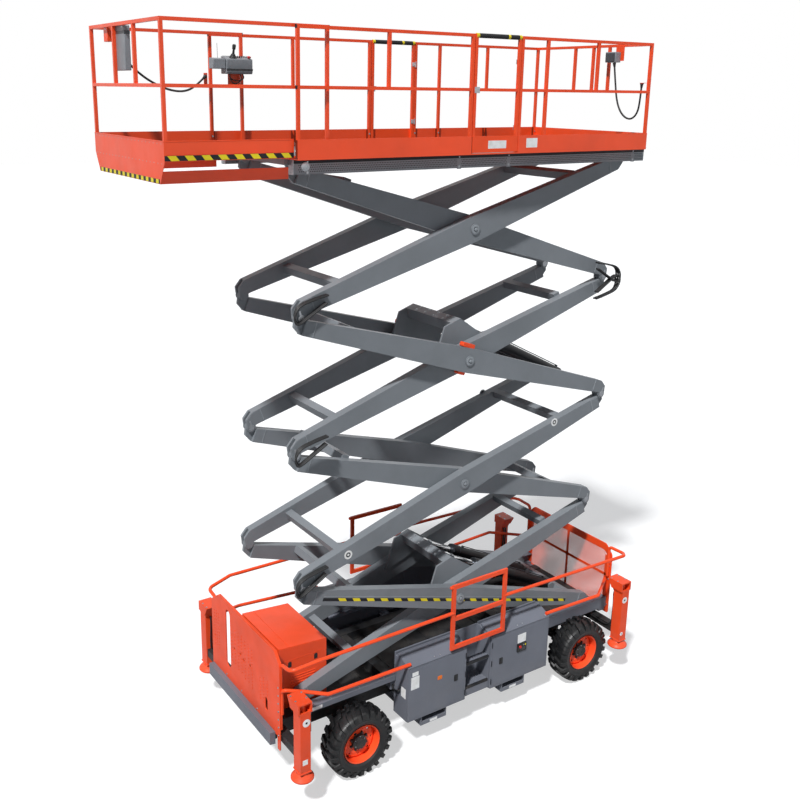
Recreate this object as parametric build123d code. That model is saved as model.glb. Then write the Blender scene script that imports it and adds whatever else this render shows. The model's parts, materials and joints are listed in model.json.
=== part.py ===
from build123d import *

import os
from math import atan2, cos, hypot, radians, sin, tan

# Self-propelled rough-terrain scissor lift, four stacks of arms, platform part raised.
# Millimetres. +X is forward, +Y is the machine's left, +Z is up, and the ground is z = 0.
# Sizes below are written from the middle of the wheelbase; emit() moves every piece by
# ORIGIN_X, so that the row's origin is the middle of the machine's whole length.

# ---- wheels and axles
AXLE_X = 1744.0          # half the wheelbase
TYRE_R = 419.0
TYRE_W = 300.0
RIM_R = 236.0
BARREL_R = 220.0
RIM_WALL = 10.0
HUB_R = 88.0
SPINDLE_R = 45.0
CARRIER_R = 92.0
AXLE_TUBE_R = 68.0
DIFF_R = 145.0
KINGPIN_H = 124.0
KINGPIN_R = 26.0
YOKE_T = 26.0
PIN_GAP = 0.3            # running clearance of every pin in its bore
SEAT = 0.3               # rest gap between pieces that lie on each other
GAP = 5.0                # least clearance between pieces that move

# ---- scissor: four stacks of crossed arms, level 0 on the chassis, level 4 on the platform
STACKS = 4
FRONT_X = 2271.0
REAR_X = -2145.0
RISE = 1515.0
LIFT_DOWN = 14.1         # degrees that the arms sink from this pose to the stowed one
INNER_Y = 473.0
LANE_W = 110.0
LANE_GAP = 7.0
ARM_HALF = 145.0
ARM_END = 160.0
EDGE = 5.0
BOX_END = 65.0
LUG_R = 55.0
PIN_R = 30.0
TONGUE = 40.0
CHEEK = 30.0
CENTRE_PIN_R = 40.0
CAP_R = 62.0
CAP_T = 12.0
TUBE = 90.0
TUBE_LOW = 600.0
TUBE_LOW_FIRST = 860.0
TUBE_HIGH = 700.0
TUBE_RISE = {"outer": (75.0, -5.0), "inner": (95.0, 25.0)}
TUBE_RISE_FIRST = 60.0
ROLLER_R = 60.0
ROLLER_GAP = 2.0
ROLLER_STEM = 12.0
ROLLER_W = 68.0

# ---- lift cylinders, one pair in stack 1 and one pair in stack 3
CYL_STACKS = (1, 3)
CYL_Y = 235.0
CYL_FOOT = (304.0, 80.0)
CYL_EYE = (250.0, 250.0)
CYL_R = 72.0
ROD_R = 38.0
CYL_MOUTH = 1500.0
ROD_INSIDE = 560.0
BORE_START = 380.0
EYE_R = 48.0
EYE_W = 84.0
LUG_T = 20.0
FOOT_BEAM = 184.0
FOOT_BEAM_W = 100.0
EYE_BEAM = (110.0, 352.0)
EYE_BEAM_W = 130.0

# ---- widths, from the arms outwards
OUTER_Y = INNER_Y + LANE_W + LANE_GAP
ROLLER_Y = OUTER_Y + LANE_W + ROLLER_STEM
WALL = 12.0
TRACK_Y0 = ROLLER_Y - 7
TRACK_Y1 = ROLLER_Y + ROLLER_W + GAP + WALL
WHEEL_Y = TRACK_Y1 + 43 + TYRE_W / 2
DISC_Y = WHEEL_Y + 20
HUB_OUT_Y = DISC_Y + 82
KINGPIN_Y = WHEEL_Y - 65
RAIL_Y0 = INNER_Y + 27
RAIL_Y1 = RAIL_Y0 + 120
CAB_Y1 = TRACK_Y1 + 288
CAB_TOP_Y = CAB_Y1 - 215
OUT_Y = CAB_Y1 + 121
GUARD_Y = CAB_Y1 + 20
HOOD_Y = INNER_Y - 11
DECK_Y = TRACK_Y1 + 179

# ---- heights, from the ground up
LEDGE_Z0 = 2 * TYRE_R + 26
LEDGE_Z1 = LEDGE_Z0 + 66
BASE_Z = LEDGE_Z0 - 57
RAIL_Z1 = BASE_Z - 67
RAIL_Z0 = RAIL_Z1 - 180
CAB_Z0 = RAIL_Z0 - 130
CAB_SHOULDER = CAB_Z0 + 720
CAB_Z1 = CAB_Z0 + 810
TIE_DOWN_Z = RAIL_Z0 - 40
OUT_BOTTOM = RAIL_Z0 - 55
OUT_TOP = OUT_BOTTOM + 683
OUT_HEAD_TOP = OUT_TOP + 172
FOOT_Z = OUT_BOTTOM - 95
HOOD_LID_Z = RAIL_Z1 + 590
HOOD_TOP = (HOOD_LID_Z + 140, HOOD_LID_Z + 190)     # at the lid's rear and front
PLATE_Z = (RAIL_Z0 + 140, RAIL_Z1 + 985)
BUMPER_Z = (PLATE_Z[0] - 135, PLATE_Z[0] + 20)
PANEL_Z = (RAIL_Z0 + 80, RAIL_Z1 + 900)
GUARD_UP_Z = CAB_Z1 + 450
GUARD_LOW_Z = CAB_Z1 - 25
FRAME_Z = (CAB_Z1 - 34, CAB_Z1 + 810)
TOP_LEVEL = BASE_Z + STACKS * RISE
DECK_Z = TOP_LEVEL + ROLLER_R + ROLLER_GAP + WALL
MID_Z = DECK_Z + 675
TOP_Z = DECK_Z + 1207
EXT_TOP = TOP_Z + 10
APRON_Z = DECK_Z - 181

# ---- lengths along the chassis
LENGTH = hypot(FRONT_X - REAR_X, RISE)
HALF = LENGTH / 2
TILT = atan2(RISE, FRONT_X - REAR_X)
OUT_TUBE = 150.0         # an outrigger's tube across the machine
OUT_TUBE_X = 125.0       # and along it
OUT_WALL = 19.0
OUT_HEAD_X = 84.0        # half the length of its head
FOOT_R = 128.0
OUT_FRONT_X = AXLE_X + TYRE_R + 351 + OUT_TUBE_X / 2
OUT_REAR_X = -(AXLE_X + TYRE_R + 54 + OUT_TUBE_X / 2)
ARM_W = 50.0             # half the width of the beam that carries an outrigger
CHASSIS_FRONT = OUT_FRONT_X + ARM_W + 6
TRACK_REAR = FRONT_X - LENGTH * cos(TILT - radians(LIFT_DOWN)) - ROLLER_R - 14
CHASSIS_REAR = min(TRACK_REAR, OUT_REAR_X - ARM_W - 6)
TRACK_FRONT = -400.0
FRONT_CAB = (240.0, AXLE_X - TYRE_R - 225)
REAR_CAB = (-FRONT_CAB[1], -150.0)
SILL_FRONT = FRONT_CAB[1] + 50
LEDGE_FRONT = AXLE_X + TYRE_R + 137
LEDGE_Y1 = WHEEL_Y - TYRE_W / 2 - 8
HOOD_LENGTH = 620.0
HOOD = (CHASSIS_FRONT - 180 - HOOD_LENGTH, CHASSIS_FRONT - 180)
TIE_DOWN_X = (CHASSIS_FRONT - 60, CHASSIS_REAR + 65)
PLATE_T = 12.0
PLATE_X = CHASSIS_FRONT + 10
BUMPER_X = PLATE_X + PLATE_T + 68
PANEL_X = CHASSIS_REAR - 25
FRAME_X = (-290.0, 490.0)

# ---- cabinets, fork pockets, guards
CAB_WALL = 14.0
DOOR_T = 22.0
POCKET_X = (700.0, -550.0)
POCKET = (380.0, 130.0)
POCKET_OPENING = (350.0, 70.0)
TIE_DOWN_R = 18.0
TIE_DOWN_T = 20.0
PAD = 10.0
SHEET = 8.0
ENGINE = (480.0, 640.0, 460.0)
PLATE_Y = 850.0
PLATE_FAR_Y = -890.0
PANEL_Y = 830.0
GUARD_R = 21.0
FRAME_BAR = 50.0

# ---- platform
DECK_FRONT = FRONT_X + 182
DECK_REAR = REAR_X - 137
DECK_T = 14.0
TOE_H = 176.0
TOE_T = 4.0
RAIL_SQ = 32.0
RAIL_GAP = 19.0          # between the main deck's rails and the roll-out deck's
FRONT_UPRIGHT = 1430.0
REAR_UPRIGHT = -1400.0
END_UPRIGHTS = (-265.0, 45.0, 310.0)
EXT_UPRIGHTS = (-260.0, 267.0)
GATE_FRONT_POST = 400.0
GATE_REAR_POST = -270.0
SLIM_POST = -637.0
EXT_FRONT = DECK_FRONT + 1282
EXT_REAR = DECK_FRONT - 373
EXT_GAP = 6.0
EXT_Y = DECK_Y - TOE_T - RAIL_SQ - RAIL_GAP
GATE_GAP = 6.0
GATE = (GATE_REAR_POST + RAIL_SQ / 2, GATE_FRONT_POST - RAIL_SQ / 2 - 5.5)
CONTROL_X = (EXT_REAR - 40, EXT_REAR + 270, EXT_REAR + 414)     # the large box's ends, then the small box's
CONTROL_Z = (MID_Z + 114, MID_Z + 295)
CONTROL_W = 150.0
BRACKET_W = 140.0
CABLE_CLIP_X = 445.0     # from the extension's rear end to the front cable's clip
FLAT_BOX_Y = (-370.0, -20.0)
FLAT_BOX_Z = (DECK_Z + 871, EXT_TOP - 30)
FLAT_BOX_T = 60.0
SIDE_BOX_Y = (-590.0, -480.0)
SIDE_BOX_Z = (EXT_TOP - 160, EXT_TOP - 30)
REAR_PLATE_Y = (430.0, 560.0)
REAR_BOX_Y = (350.0, 515.0)
REAR_BOX_Z = (DECK_Z + 996, DECK_Z + 1117)
HOOK_Z = DECK_Z + 759    # the tab on the rear corner post that holds the rear cable's end

# ---- cables, each hanging between two holders
CABLE_R = 11.0
FRONT_CABLE = [(3660, -100, 7812), (3560, -165, 7738), (3384, -287, 7644), (3140, -450, 7562),
               (2890, -620, 7538), (2690, -757, 7598), (2525, -883, 7706)]
REAR_CABLE = [(-2172, 478, 7937), (-2178, 508, 7730), (-2183, 552, 7480), (-2190, 640, 7330),
              (-2198, 770, 7272), (-2204, 872, 7350), (-2208, 893, 7520), (-2210, 897, 7700)]

ORIGIN_X = -(EXT_FRONT + TOE_T + PANEL_X) / 2


# ---- helpers
def block(x, y, z):
    """A box from three (low, high) pairs."""
    middle = [(a + b) / 2 for a, b in (x, y, z)]
    size = [b - a for a, b in (x, y, z)]
    return Pos(*middle) * Box(*size)


def around(centre, half):
    """The (low, high) pair that lies half to each side of a centre."""
    return (centre - half, centre + half)


def both(shape):
    """The shape and its mirror image on the machine's other side."""
    return [shape, mirror(shape, about=Plane.XZ)]


def slab(outline, y0, y1):
    """An outline of (x, z) points, solid from y0 to y1."""
    face = make_face(Polyline(*[(x, y0, z) for x, z in outline], close=True))
    return extrude(face, amount=y1 - y0, dir=(0, 1, 0))


def plate(outline, x0, x1):
    """An outline of (y, z) points, solid from x0 to x1."""
    face = make_face(Polyline(*[(x0, y, z) for y, z in outline], close=True))
    return extrude(face, amount=x1 - x0, dir=(1, 0, 0))


def along_y(centre, radius, y0, y1):
    """A round bar across the machine, its centre an (x, z) point."""
    bar = Rot(90, 0, 0) * Cylinder(radius, y1 - y0)
    return Pos(centre[0], (y0 + y1) / 2, centre[1]) * bar


def along_z(centre, radius, z0, z1):
    """A round upright bar, its centre an (x, y) point."""
    return Pos(centre[0], centre[1], (z0 + z1) / 2) * Cylinder(radius, z1 - z0)


def between(start, end, radius):
    """A round bar from one point to another."""
    axis = Vector(*end) - Vector(*start)
    return extrude(Plane(origin=start, z_dir=axis) * Circle(radius), amount=axis.length)


def pipe(points, radius, bend):
    """A bent round tube through the points; bend is one radius or a list with one for each corner."""
    path = FilletPolyline(*points, radius=bend)
    section = Plane(origin=path @ 0, z_dir=path % 0) * Circle(radius)
    return sweep(section, path=path)


def spin(outline, y):
    """An outline of (offset along y, radius) points turned about an axis across the machine."""
    face = Plane.YZ * make_face(Polyline(*outline, close=True))
    return Pos(0, y, 0) * revolve(face, axis=Axis.Y, revolution_arc=360)


def join(shapes):
    """Touching or crossing shapes as one."""
    first, *rest = shapes
    return first.fuse(*rest) if rest else first


def pieces(shape):
    """The solids of anything the kernel returns."""
    if isinstance(shape, (list, tuple)):
        return [solid for one in shape for solid in pieces(one)]
    return list(shape.solids())


def emit(name, shape):
    """Writes a node's solids, moved to the row's origin."""
    moved = [Pos(ORIGIN_X, 0, 0) * solid for solid in pieces(shape)]
    export_step(Compound(children=moved) if len(moved) > 1 else moved[0], f"parts/{name}.step")


# ---- arms
def pivot(side, level):
    """The (x, z) point of a level's front or rear pivot."""
    return (FRONT_X if side == "front" else REAR_X, BASE_Z + level * RISE)


def centre(stack):
    """The (x, z) point where a stack's arms cross."""
    return ((FRONT_X + REAR_X) / 2, BASE_Z + (stack - 0.5) * RISE)


def rises_forward(kind, stack):
    """Outer arms rise forward in stacks 1 and 3, inner arms in stacks 2 and 4."""
    return (kind == "outer") == (stack % 2 == 1)


def arm_point(kind, stack, u, v):
    """An arm's own (u, v), along it from its crossing to its upper end and up, as (x, z)."""
    way = 1 if rises_forward(kind, stack) else -1
    x, z = centre(stack)
    return (x + way * (u * cos(TILT) - v * sin(TILT)), z + u * sin(TILT) + v * cos(TILT))


def arm_body(kind, stack):
    """One pair of arms with their cross tubes, as one solid in the lanes of its kind."""
    y0 = INNER_Y if kind == "inner" else OUTER_Y
    y1 = y0 + LANE_W
    middle = (y0 + y1) / 2

    def here(points):
        return [arm_point(kind, stack, u, v) for u, v in points]

    # The arm tapers from its crossing to both ends, over the pin line below and under it above.
    box_end = HALF - BOX_END
    low, high = EDGE, EDGE + ARM_END
    box = [(-box_end, low), (0, -ARM_HALF), (box_end, -high),
           (box_end, -low), (0, ARM_HALF), (-box_end, high)]
    lug = [(HALF - 2 * LUG_R, -low), (HALF - 30, 0), (HALF + LUG_R - 5, -10),
           (HALF + 30, -2 * LUG_R), (HALF - LUG_R - 5, -high), (HALF - 2 * LUG_R, -high)]
    foot = [(-u, -v) for u, v in lug]
    lower, upper = here([(-HALF, 0)])[0], here([(HALF, 0)])[0]
    parts = [slab(here(box), y0, y1)]

    fork = [(y0, y0 + CHEEK), (y1 - CHEEK, y1)]
    tongue = [around(middle, TONGUE / 2)]
    whole = [(y0, y1)]
    rolls_low = kind == "outer" and stack == 1
    rolls_high = kind == "outer" and stack == STACKS
    for lanes, outline, eye in ((whole if rolls_low else fork, foot, lower),
                                (whole if rolls_high else tongue, lug, upper)):
        for a, b in lanes:
            parts.append(slab(here(outline), a, b))
            parts.append(along_y(eye, LUG_R, a, b))
    for rolls, eye in ((rolls_low, lower), (rolls_high, upper)):
        if rolls:
            parts.append(along_y(eye, PIN_R, y1, ROLLER_Y + 1))
            parts.append(along_y(eye, ROLLER_R, ROLLER_Y, ROLLER_Y + ROLLER_W))
    if not rolls_low:
        parts.append(along_y(lower, PIN_R, y0, y1))
    if kind == "inner":
        crossing = centre(stack)
        outer_face = OUTER_Y + LANE_W
        parts.append(along_y(crossing, CENTRE_PIN_R, y1, outer_face + 2))
        parts.append(along_y(crossing, CAP_R, outer_face + 1, outer_face + 1 + CAP_T))

    side = join(parts)
    if not rolls_high:
        side = side - along_y(upper, PIN_R + PIN_GAP, *around(middle, TONGUE))
    if kind == "outer":
        side = side - along_y(centre(stack), CENTRE_PIN_R + PIN_GAP, y0 - 1, y1 + 1)
    across = [square_tube(kind, stack, u, v, TUBE, y0 + 1) for u, v in cross_tubes(kind, stack)]
    across += cylinder_seats(kind, stack, y0)
    return join(both(side) + across)


def cross_tubes(kind, stack):
    """Where a pair's cross tubes lie, as (u, v) points clear of the other arms when stowed."""
    first = kind == "inner" and stack == 1
    rise, fall = TUBE_RISE[kind]
    lower = (-HALF + (TUBE_LOW_FIRST if first else TUBE_LOW), TUBE_RISE_FIRST if first else rise)
    upper = (HALF - TUBE_HIGH, fall)
    return [upper] if kind == "outer" and stack in CYL_STACKS else [lower, upper]


def square_tube(kind, stack, u, v, size, y1):
    """A square tube across the machine, turned with its arm."""
    half = size / 2
    corners = [(u - half, v - half), (u + half, v - half), (u + half, v + half), (u - half, v + half)]
    return slab([arm_point(kind, stack, a, b) for a, b in corners], -y1, y1)


def cylinder_seats(kind, stack, y0):
    """The beam and ears that a pair of lift cylinders pushes on."""
    if stack not in CYL_STACKS:
        return []
    inside, outside = CYL_Y - EYE_W / 2 - GAP, CYL_Y + EYE_W / 2 + GAP
    eye_lanes = [(inside - LUG_T, inside), (outside, outside + LUG_T)]
    if kind == "outer":
        u, v = -HALF + FOOT_BEAM, 60.0
        eye_u, eye_v = -HALF + CYL_FOOT[0], CYL_FOOT[1]
        beam = square_tube(kind, stack, u, v, FOOT_BEAM_W, y0 + 1)
        half = FOOT_BEAM_W / 2 - GAP
        ear = [(u + 20, v - half), (eye_u + 25, eye_v - EYE_R + GAP), (eye_u + 45, eye_v + 20),
               (eye_u, eye_v + EYE_R), (u + 20, v + half)]
        eye = arm_point(kind, stack, eye_u, eye_v)
        extra = both(along_y(eye, PIN_R, eye_lanes[0][0], eye_lanes[1][1]))
    else:
        u, v = EYE_BEAM
        eye_u, eye_v = CYL_EYE
        half = EYE_BEAM_W / 2
        beam = square_tube(kind, stack, u, v, EYE_BEAM_W, INNER_Y - GAP)
        ear = [(u - 20, v + half - GAP), (u + half, v + half - GAP), (eye_u + 60, eye_v - 10),
               (eye_u + 20, eye_v - EYE_R), (eye_u - 40, eye_v - 40), (u - 20, v - half + GAP)]
        gusset = [(-330, 60), (-60, v + half), (u + half, v + half), (u + 330, 60)]
        seat = [(-330, 60), (-280, 100), (u + 280, 100), (u + 330, 60)]
        extra = []
        for outline, y1 in ((gusset, INNER_Y - GAP), (seat, INNER_Y + 1)):
            here = [arm_point(kind, stack, a, b) for a, b in outline]
            extra += both(slab(here, INNER_Y - 30, y1))
    ears = []
    for a, b in eye_lanes:
        ears += both(slab([arm_point(kind, stack, p, q) for p, q in ear], a, b))
    return [beam] + ears + extra


def cylinder_line(stack):
    """The two ends of a stack's lift cylinders, foot and rod eye, as (x, z)."""
    foot = arm_point("outer", stack, -HALF + CYL_FOOT[0], CYL_FOOT[1])
    eye = arm_point("inner", stack, *CYL_EYE)
    return foot, eye


def cylinders(stack):
    """A pair of lift cylinders: the barrels and the rods."""
    (x0, z0), (x1, z1) = cylinder_line(stack)
    length = hypot(x1 - x0, z1 - z0)
    ux, uz = (x1 - x0) / length, (z1 - z0) / length
    lane = around(CYL_Y, EYE_W / 2)
    neck, base = 34.0, 90.0

    def on(distance):
        return (x0 + ux * distance, CYL_Y, z0 + uz * distance)

    barrel = join([along_y((x0, z0), EYE_R, *lane),
                   between(on(0), on(base + 5), neck),
                   between(on(base), on(CYL_MOUTH), CYL_R),
                   between(on(CYL_MOUTH - 60), on(CYL_MOUTH + 20), CYL_R + 8)])
    barrel = barrel - along_y((x0, z0), PIN_R + PIN_GAP, *around(CYL_Y, EYE_W))
    barrel = barrel - between(on(BORE_START), on(CYL_MOUTH + 30), ROD_R + PIN_GAP)
    rod = join([between(on(ROD_INSIDE), on(length - 20), ROD_R),
                along_y((x1, z1), EYE_R, *lane)])
    return both(barrel), both(rod)


# ---- chassis
def track(z, x0, x1):
    """A channel open towards the arms, in which a roller runs, centred on height z."""
    half = ROLLER_R + ROLLER_GAP
    channel = block((x0, x1), (TRACK_Y0, TRACK_Y1), around(z, half + WALL))
    return channel - block((x0 - 1, x1 + 1), (TRACK_Y0 - 1, TRACK_Y1 - WALL), around(z, half))


def chassis_frame():
    """The two chassis rails, their cross members, the outrigger beams, saddles and tie-down eyes."""
    rail_y = (RAIL_Y1 + RAIL_Y0) / 2
    member = (RAIL_Z0 + 10, RAIL_Z1 - 10)
    inside = around(0, RAIL_Y0 + 1)
    parts = both(block((CHASSIS_REAR, CHASSIS_FRONT), (RAIL_Y0, RAIL_Y1), (RAIL_Z0, RAIL_Z1)))
    for x in (CHASSIS_REAR + ARM_W, -1000.0, 1000.0, OUT_FRONT_X):
        parts.append(block(around(x, ARM_W), inside, member))
    parts.append(block((HOOD[0] - 20, HOOD[1] + 20), inside, (RAIL_Z1 - WALL, RAIL_Z1)))
    for x, z in ((OUT_FRONT_X, RAIL_Z1 - ARM_W), (OUT_REAR_X, RAIL_Z0 + 70)):
        reach = OUT_Y - OUT_TUBE / 2
        parts += both(block(around(x, ARM_W), (RAIL_Y1 - 1, reach), around(z, ARM_W)))
    for x in (AXLE_X, -AXLE_X):
        saddle = TYRE_R + AXLE_TUBE_R + PAD
        parts += both(block(around(x, 70), (RAIL_Y0, RAIL_Y0 + 60), (saddle, RAIL_Z0 + 1)))
    for x in TIE_DOWN_X:
        low = TIE_DOWN_Z - 38
        ear = [(x - 55, RAIL_Z0 + 1), (x - 25, low), (x + 25, low), (x + 55, RAIL_Z0 + 1)]
        eye = slab(ear, *around(rail_y, TIE_DOWN_T / 2))
        parts += both(eye - along_y((x, TIE_DOWN_Z), TIE_DOWN_R, *around(rail_y, TIE_DOWN_T)))
    lug = [(FRONT_X - 75, RAIL_Z1 - 1), (FRONT_X + 75, RAIL_Z1 - 1),
           (FRONT_X + 52, BASE_Z + 10), (FRONT_X - 52, BASE_Z + 10)]
    lane = INNER_Y + LANE_W / 2
    tongue = around(lane, TONGUE / 2)
    eye = join([slab(lug, *tongue), along_y((FRONT_X, BASE_Z), LUG_R - 2, *tongue)])
    parts += both(eye - along_y((FRONT_X, BASE_Z), PIN_R + PIN_GAP, *around(lane, TONGUE)))
    rail_end = (RAIL_Z0 + 20, RAIL_Z1 - 20)
    parts += both(block((CHASSIS_FRONT - 1, PLATE_X), (RAIL_Y0, RAIL_Y1), rail_end))
    parts += both(block((PANEL_X + PLATE_T, CHASSIS_REAR + 1), (RAIL_Y0, RAIL_Y1), (PANEL_Z[0], rail_end[1])))
    return join(parts)


def chassis_track():
    """The left roller track with the sill ahead of it and the ledge over the front tyre."""
    half = ROLLER_R + ROLLER_GAP
    low, high = BASE_Z - half - WALL, BASE_Z + half + WALL
    parts = [track(BASE_Z, TRACK_REAR, TRACK_FRONT),
             block((TRACK_FRONT - 1, SILL_FRONT), (TRACK_Y0, TRACK_Y1), (low, high)),
             block((FRONT_CAB[1] + GAP, LEDGE_FRONT), (TRACK_Y0 + 3, LEDGE_Y1), (LEDGE_Z0, LEDGE_Z1)),
             block((LEDGE_FRONT - 50, LEDGE_FRONT), (RAIL_Y1, LEDGE_Y1), (RAIL_Z0 + 60, LEDGE_Z0 + 1))]
    for x in (TRACK_REAR + 75, -1200.0, -450.0):
        parts.append(block(around(x, 50), (RAIL_Y1, TRACK_Y1), (low - 40, low + 1)))
    for x in (-300.0, 250.0, 1050.0):
        parts.append(block(around(x, 50), (RAIL_Y1, TRACK_Y0 + 1), (low - 10, low + 30)))
    return join(parts)


def axle(x, steered):
    """A live axle beam with its differential, and yokes for the kingpins if it steers."""
    z = TYRE_R
    tip = KINGPIN_Y - 75 if steered else DISC_Y - 60
    parts = [along_y((x, z), AXLE_TUBE_R, -tip, tip), along_y((x, z), DIFF_R, -95, 95)]
    parts += both(block(around(x, 70), (RAIL_Y0, RAIL_Y0 + 60), (z + 30, z + AXLE_TUBE_R + PAD)))
    if not steered:
        parts += both(along_y((x, z), SPINDLE_R, tip - 1, DISC_Y + 20))
        parts += both(along_y((x, z), CARRIER_R, tip - 20, DISC_Y - 14))
        return join(parts)
    pins = []
    for side in (1, -1):
        inner, outer = side * (KINGPIN_Y - 105), side * (KINGPIN_Y + 32)
        for top in (1, -1):
            z_in, z_out = z + top * KINGPIN_H, z + top * (KINGPIN_H - YOKE_T)
            parts.append(block(around(x, 34), sorted((inner, outer)), sorted((z_in, z_out))))
            parts.append(block(around(x, 34), sorted((inner, side * tip)), sorted((z, z_in))))
        pins.append(along_z((x, side * KINGPIN_Y), KINGPIN_R + PIN_GAP, *around(z, 200)))
    beam = join(parts)
    for pin in pins:
        beam = beam - pin
    return beam


def knuckle():
    """The left steering knuckle: a block on its kingpin with the wheel's spindle."""
    z = TYRE_R
    body = block(around(AXLE_X, 42), (KINGPIN_Y - 36, KINGPIN_Y + 44), around(z, KINGPIN_H - YOKE_T - GAP))
    pin = along_z((AXLE_X, KINGPIN_Y), KINGPIN_R, *around(z, KINGPIN_H + 10))
    spindle = along_y((AXLE_X, z), SPINDLE_R, KINGPIN_Y + 40, DISC_Y + 20)
    carrier = along_y((AXLE_X, z), CARRIER_R, KINGPIN_Y + 40, DISC_Y - 14)
    arm = block((AXLE_X - 160, AXLE_X - 40), (KINGPIN_Y - 34, KINGPIN_Y - 6), (z - 60, z - 30))
    return join([body, pin, spindle, carrier, arm])


def tyre():
    half, bore = TYRE_W / 2, BARREL_R + PIN_GAP
    outline = [(-half + 6, bore), (-half, bore + 80), (-half, TYRE_R - 62), (-half + 22, TYRE_R - 16),
               (-half + 50, TYRE_R), (half - 50, TYRE_R), (half - 22, TYRE_R - 16),
               (half, TYRE_R - 62), (half, bore + 80), (half - 6, bore)]
    return spin(outline, WHEEL_Y)


def rim():
    half = TYRE_W / 2
    inside = BARREL_R - RIM_WALL
    disc0, disc1 = DISC_Y - WHEEL_Y, DISC_Y - WHEEL_Y + 12
    outline = [(-half + 4, BARREL_R), (half + 2, BARREL_R), (half + 2, RIM_R), (half + 12, RIM_R),
               (half + 12, inside), (disc1, inside), (disc1, HUB_R + PIN_GAP), (disc0, HUB_R + PIN_GAP),
               (disc0, inside), (-half - 6, inside), (-half - 6, RIM_R), (-half + 4, RIM_R)]
    return spin(outline, WHEEL_Y)


def hub():
    """The wheel's planetary hub, bored for the spindle, with a flange behind the disc."""
    disc = DISC_Y - WHEEL_Y
    face = HUB_OUT_Y - WHEEL_Y
    bore = SPINDLE_R + PIN_GAP
    flange_r, cap_r = 135.0, 60.0
    outline = [(disc - 11, bore), (disc - 11, flange_r), (disc, flange_r), (disc, HUB_R),
               (face - 30, HUB_R), (face - 24, cap_r), (face, cap_r), (face, 0),
               (disc + 24, 0), (disc + 24, bore)]
    return spin(outline, WHEEL_Y)


# ---- body panels
def cabinet(x0, x1):
    """A hollow side cabinet, open where its door hangs, with a sloped lid and a gutter behind it."""
    gutter, lip, t = 50.0, 18.0, CAB_WALL
    y0, y1, top = TRACK_Y1, CAB_Y1, CAB_Z1
    outside = [(y0, CAB_Z0), (y1, CAB_Z0), (y1, CAB_SHOULDER), (CAB_TOP_Y, top), (CAB_TOP_Y - t / 2, top - gutter),
               (y0 + lip, top - gutter), (y0 + lip, top - 10), (y0, top - 10)]
    inside = [(y0 + t, CAB_Z0 + t), (y1 - t, CAB_Z0 + t), (y1 - t, CAB_SHOULDER - t / 2),
              (CAB_TOP_Y + t, top - 1.6 * t), (CAB_TOP_Y + t / 2, top - gutter - t), (y0 + t, top - gutter - t)]

    def front(edge, y0, y1):
        """A block behind the door, edge in from the cabinet's ends, floor and shoulder."""
        return block((x0 + edge, x1 - edge), (y0, y1), (CAB_Z0 + edge, CAB_SHOULDER - edge))

    shell = plate(outside, x0, x1) - plate(inside, x0 + CAB_WALL, x1 - CAB_WALL)
    door_back = CAB_Y1 - DOOR_T - SEAT
    recess = block((x0 - 1, x1 + 1), (door_back, CAB_Y1 + 1), (CAB_Z0 - 1, CAB_SHOULDER - 12))
    frame = front(10, door_back - CAB_WALL, door_back) - front(40, CAB_Y1 - 60, CAB_Y1)
    return join([shell - recess, frame]) - front(40, CAB_Y1 - 60, CAB_Y1 + 1)


def cabinet_door(x0, x1):
    return block((x0 + 4, x1 - 4), (CAB_Y1 - DOOR_T, CAB_Y1), (CAB_Z0 + 4, CAB_SHOULDER - 18))


def steps():
    """The left side's two treads between two stringers, hung from the sill between the cabinets."""
    x0, x1 = REAR_CAB[1] + GAP, FRONT_CAB[0] - GAP
    back, front = TRACK_Y1, CAB_Y1 - 25
    z0, z1 = CAB_Z0 + 20, CAB_Z1 - 30
    tread_t, low, high, high_depth = 34.0, z0 + 88, z0 + 416, 105.0
    stringer = [(back, z0), (front, z0), (front, CAB_SHOULDER - 20), (CAB_TOP_Y, z1), (back, z1)]
    parts = [plate(stringer, x, x + WALL) for x in (x0, x1 - WALL)]
    parts.append(block((x0, x1), (back, back + WALL), (z0, z1)))
    parts.append(block((x0, x1), (back + WALL - 1, front), (low, low + tread_t)))
    parts.append(block((x0, x1), (front - WALL, front), (z0, low + 1)))
    parts.append(block((x0, x1), (front - high_depth, front), (high, high + tread_t)))
    return join(parts)


def fork_pockets():
    """Two open channels across the machine under the cabinets, hung from the chassis rails."""
    width, height = POCKET
    slot_w, slot_h = POCKET_OPENING
    top = CAB_Z0
    lip = 15.0
    channels = []
    for x in POCKET_X:
        outer = block(around(x, width / 2), around(0, CAB_Y1 - 20), (top - height, top))
        hanger = both(block(around(x, 60), (RAIL_Y0 + 20, RAIL_Y1 - 20), (top - 1, RAIL_Z0)))
        slot = block(around(x, slot_w / 2), around(0, CAB_Y1), (top - lip - slot_h, top - lip))
        channels.append(join([outer] + hanger) - slot)
    return channels


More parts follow.
